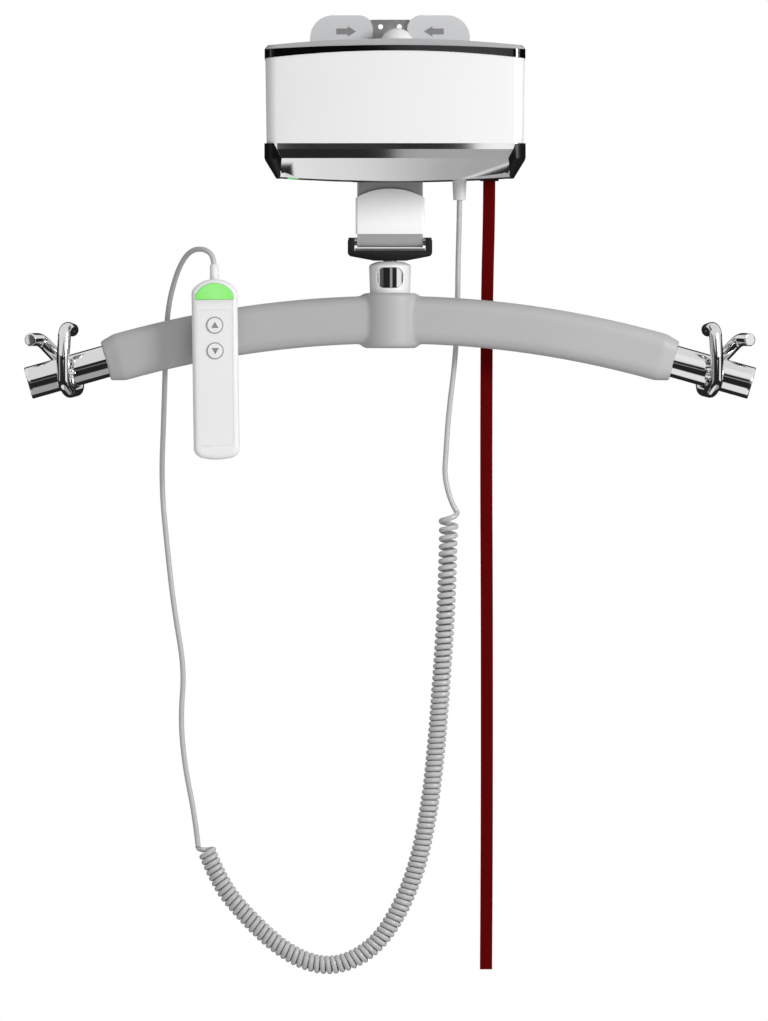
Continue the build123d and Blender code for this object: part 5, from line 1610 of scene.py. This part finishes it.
@dataclass
class SpreaderBar:
    """Collar, tube, pad and sling hooks."""

    centre_z: float = -257.8 * MM
    arc: float = 875.0 * MM
    tube_radius: float = 14.3 * MM
    pad_reach: float = 238.0 * MM
    pad_taper: float = 12.5 * MM
    taper_share: float = 0.16
    pad_half_depth: float = 17.5 * MM
    pad_half_height: float = 21.0 * MM
    pad_corner: float = 11.0 * MM
    pad_steps: int = 240
    hub_top: float = -234.3 * MM
    hub_bottom: float = -282.8 * MM
    hub_radius: float = 25.5 * MM
    hub_edge: float = 4.0 * MM
    hub_sides: int = 72
    edge_steps: int = 6
    skin_grain: float = 1.4 * MM
    skin_rounds: int = 6
    foot_start: float = 24.0 * MM
    foot_width: float = 20.0 * MM
    hook_x: float = 288.2 * MM
    hook_z: float = -305.2 * MM
    hook_out: float = 241.18 * MM
    weld_top: float = 8.0 * MM
    weld_step: float = 1.9 * MM
    weld_points: int = 11
    weld_proud: float = 0.6 * MM
    weld_in: float = 8.0 * MM
    weld_slant: float = 0.27
    bead_spacing: float = 2.6 * MM
    bead_variation: float = 0.3
    bead_seed: int = 7
    bead_sides: int = 12
    bead_profile: tuple[tuple[float, float], ...] = (
        (0.8 * MM, -2.0 * MM), (2.7 * MM, -1.4 * MM), (3.5 * MM, 0.0), (2.7 * MM, 1.4 * MM),
        (0.8 * MM, 2.0 * MM))
    collar_bevel: float = 0.25 * MM
    rod_angle: float = 50.0

    def along_arc(self, out: float) -> Vector:
        """Point of the bar's centreline, which runs straight on past the pad's reach.

        Args:
            out: distance from the middle along the line, in metres, positive to the right.

        Returns:
            The point.
        """
        end = self.pad_reach / self.arc
        angle = max(-end, min(end, out / self.arc))
        beyond = out - angle * self.arc
        return Vector((self.arc * math.sin(angle) + beyond * math.cos(angle), 0.0,
                       self.centre_z - self.arc * (1.0 - math.cos(angle)) - beyond * math.sin(angle)))

    def hub_profile(self) -> Outline:
        """Radius and height up the hub's side, with rounded edges."""
        wall, edge = self.hub_radius - self.hub_edge, self.hub_edge
        low, high = self.hub_bottom + edge, self.hub_top - edge
        angles = [math.radians(90.0 * n / self.edge_steps) for n in range(self.edge_steps + 1)]
        return ([(wall + edge * math.sin(a), low - edge * math.cos(a)) for a in angles]
                + [(wall + edge * math.cos(a), high + edge * math.sin(a)) for a in angles])

    def pad(self, shop: Shop) -> None:
        """Mould the pad in one skin: two wings with tapered ends, flowing into the upright hub.

        Args:
            shop: where finishes come from.
        """
        total = self.arc * math.asin(self.pad_reach / self.arc) + self.pad_taper
        line = [self.along_arc(total * (2.0 * n / self.pad_steps - 1.0)) for n in range(self.pad_steps + 1)]
        taper = self.pad_taper / (2.0 * total)

        def size(share: float) -> float:
            """Scale of the wing's outline by the share of the way along."""
            return 1.0 - self.taper_share * (1.0 - min(1.0, min(share, 1.0 - share) / taper))

        def near(place: Vector) -> float:
            """Smoothing share, full at the hub's foot and none past it."""
            return 1.0 - min(1.0, max(0.0, (abs(place.x) - self.foot_start) / self.foot_width))

        outline = Maker.oblong(self.pad_half_depth, self.pad_half_height, self.pad_corner, self.edge_steps)
        wings = Maker.section("wings", line, outline, ALONG_Y, size)
        hub = Maker.turned("hub", self.hub_profile(), self.hub_sides)
        piece = Maker.blended("pad_skin", [wings, hub], self.skin_grain, self.skin_rounds, near)
        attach(piece, "bar")
        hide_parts("bar_pad")
        shop.coat(piece, PAD_GREY, "pad_grey")

    def at_hook(self, side: Side, out: float, y: float, up: float) -> Vector:
        """Point near a hook.

        Args:
            side: the hook's side.
            out: its way out along the bar's end from the hook.
            y: its depth.
            up: its height off the bar's centreline.

        Returns:
            The point.
        """
        sine = self.hook_out / self.arc
        cosine = math.sqrt(1.0 - sine ** 2)
        return Vector((side.value * (self.hook_x + cosine * out + sine * up), y,
                       self.hook_z - sine * out + cosine * up))

    def welds(self, shop: Shop) -> None:
        """Lay the weld beads between each hook's rod and the tube, in front and behind.

        Args:
            shop: where finishes come from.
        """
        bead = Maker.turned("bead", self.bead_profile, self.bead_sides)
        heights = [self.weld_top - self.weld_step * step for step in range(self.weld_points)]
        lines = []
        for side in Side:
            for face in (-1.0, 1.0):
                lines.append([
                    self.at_hook(side, self.weld_slant * face * up - self.weld_in,
                                 face * (math.sqrt(self.tube_radius ** 2 - up ** 2) + self.weld_proud), up)
                    for up in heights])
        piece = RowMaker().row("hook_welds", lines, bead, self.bead_spacing, self.bead_variation,
                               self.bead_seed, shop.material(CHROME))
        bpy.data.objects.remove(bead)
        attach(piece, "bar")

    def build(self, shop: Shop) -> None:
        """Dress the bar.

        Args:
            shop: where finishes come from.
        """
        shop.smooth_copy("release_collar", "bar", WHITE_COVER, "white_plastic", bevel=self.collar_bevel)
        for face in ("front", "rear"):
            shop.smooth_copy(f"release_button_{face}", f"{face}_button", CHROME, "chrome")
        shop.smooth_copy("bar_tube", "bar", CHROME, "chrome")
        self.pad(shop)
        shop.smooth_copy("bar_end_caps", "bar", SILVER_TRAY, "silver_plastic")
        for side in Side:
            shop.smooth_copy(f"sling_hook_{side.name.lower()}", "bar", CHROME, "chrome", self.rod_angle)
        shop.dress(ZINC, "hub_boss", "stud_socket")
        self.welds(shop)


@dataclass
class HandControl:
    """Hand control with its lamp, overlay, two keys, boot and hook."""

    x: float = -153.3 * MM
    z: float = -301.6 * MM
    front: float = -50.0 * MM
    lean: float = math.radians(0.83)
    key_up: float = 38.7 * MM
    key_down: float = 16.2 * MM
    key_proud: float = 0.9 * MM
    mark_lift: float = 0.03 * MM
    mark_thickness: float = 0.1 * MM
    ring_radius: float = 7.1 * MM
    ring_width: float = 0.6 * MM
    ring_sides: int = 48
    arrow_tip: float = 3.1 * MM
    arrow_foot: float = 2.5 * MM
    arrow_half: float = 3.2 * MM

    def plane(self, y: float, up: float) -> Matrix:
        """Plane on the front of the case.

        Args:
            y: the plane's depth.
            up: height of its origin up the case's middle line.

        Returns:
            The plane's place, with X across the case and Z out of it.
        """
        cos, sin = math.cos(self.lean), math.sin(self.lean)
        return Matrix(((cos, -sin, 0, self.x - sin * up), (0, 0, -1, y), (sin, cos, 0, self.z + cos * up),
                       (0, 0, 0, 1)))

    def key(self, shop: Shop, name: str, up: float, way: int) -> None:
        """Dress a key and print its ring and triangle.

        Args:
            shop: where finishes come from.
            name: which key it is, "up" or "down".
            up: its height up the case.
            way: 1 if the triangle points up, -1 if it points down.
        """
        shop.smooth_copy(f"{name}_button", f"{name}_key", KEY_GREY, "key_grey")
        face = self.plane(self.front - self.key_proud - self.mark_lift, up)
        ring = [Maker.ring(self.ring_radius, self.ring_sides),
                Maker.ring(self.ring_radius - self.ring_width, self.ring_sides)]
        triangle = [(0.0, self.arrow_tip * way), (-self.arrow_half, -self.arrow_foot * way),
                    (self.arrow_half, -self.arrow_foot * way)]
        for mark, outlines, ink in (("ring", ring, RING_INK), ("triangle", [triangle], ARROW_INK)):
            piece = Maker.flat_mark(f"{name}_key_mark_{mark}", outlines, face, self.mark_thickness)
            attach(piece, f"{name}_key")
            shop.coat(piece, ink, "key_grey")

    def build(self, shop: Shop) -> None:
        """Dress the hand control and print its keys.

        Args:
            shop: where finishes come from.
        """
        for node in ("handset_front_shell", "handset_rear_shell", "handset_boot"):
            shop.smooth_copy(node, "handset", WHITE_CASE, "white_satin_plastic")
        shop.smooth_copy("handset_lens", "handset", HANDSET_LAMP, "green_lens")
        shop.dress(OVERLAY_FILM, "handset_overlay")
        shop.dress(GREEN_BOARD, "handset_board")
        shop.dress(BLACK_COAT, "handset_hook")
        shop.dress(ZINC, "handset_screws")
        self.key(shop, "up", self.key_up, 1)
        self.key(shop, "down", self.key_down, -1)


def main() -> None:
    """Load the model, make the studio and the cords, then dress every sub-assembly."""
    logging.basicConfig(level=logging.INFO, format="%(name)s: %(message)s")
    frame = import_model()
    bpy.context.scene.view_settings.view_transform = "Standard"
    shop = Shop(frame["nodes"])
    Studio().build()
    HandControlCord().build(shop)
    EmergencyPull().build(shop)
    for part in (Casing(), LiftingStrap(), StrapEnd(), SpreaderBar(), HandControl()):
        log.info("making %s", type(part).__name__)
        part.build(shop)


if __name__ == "__main__":
    main()
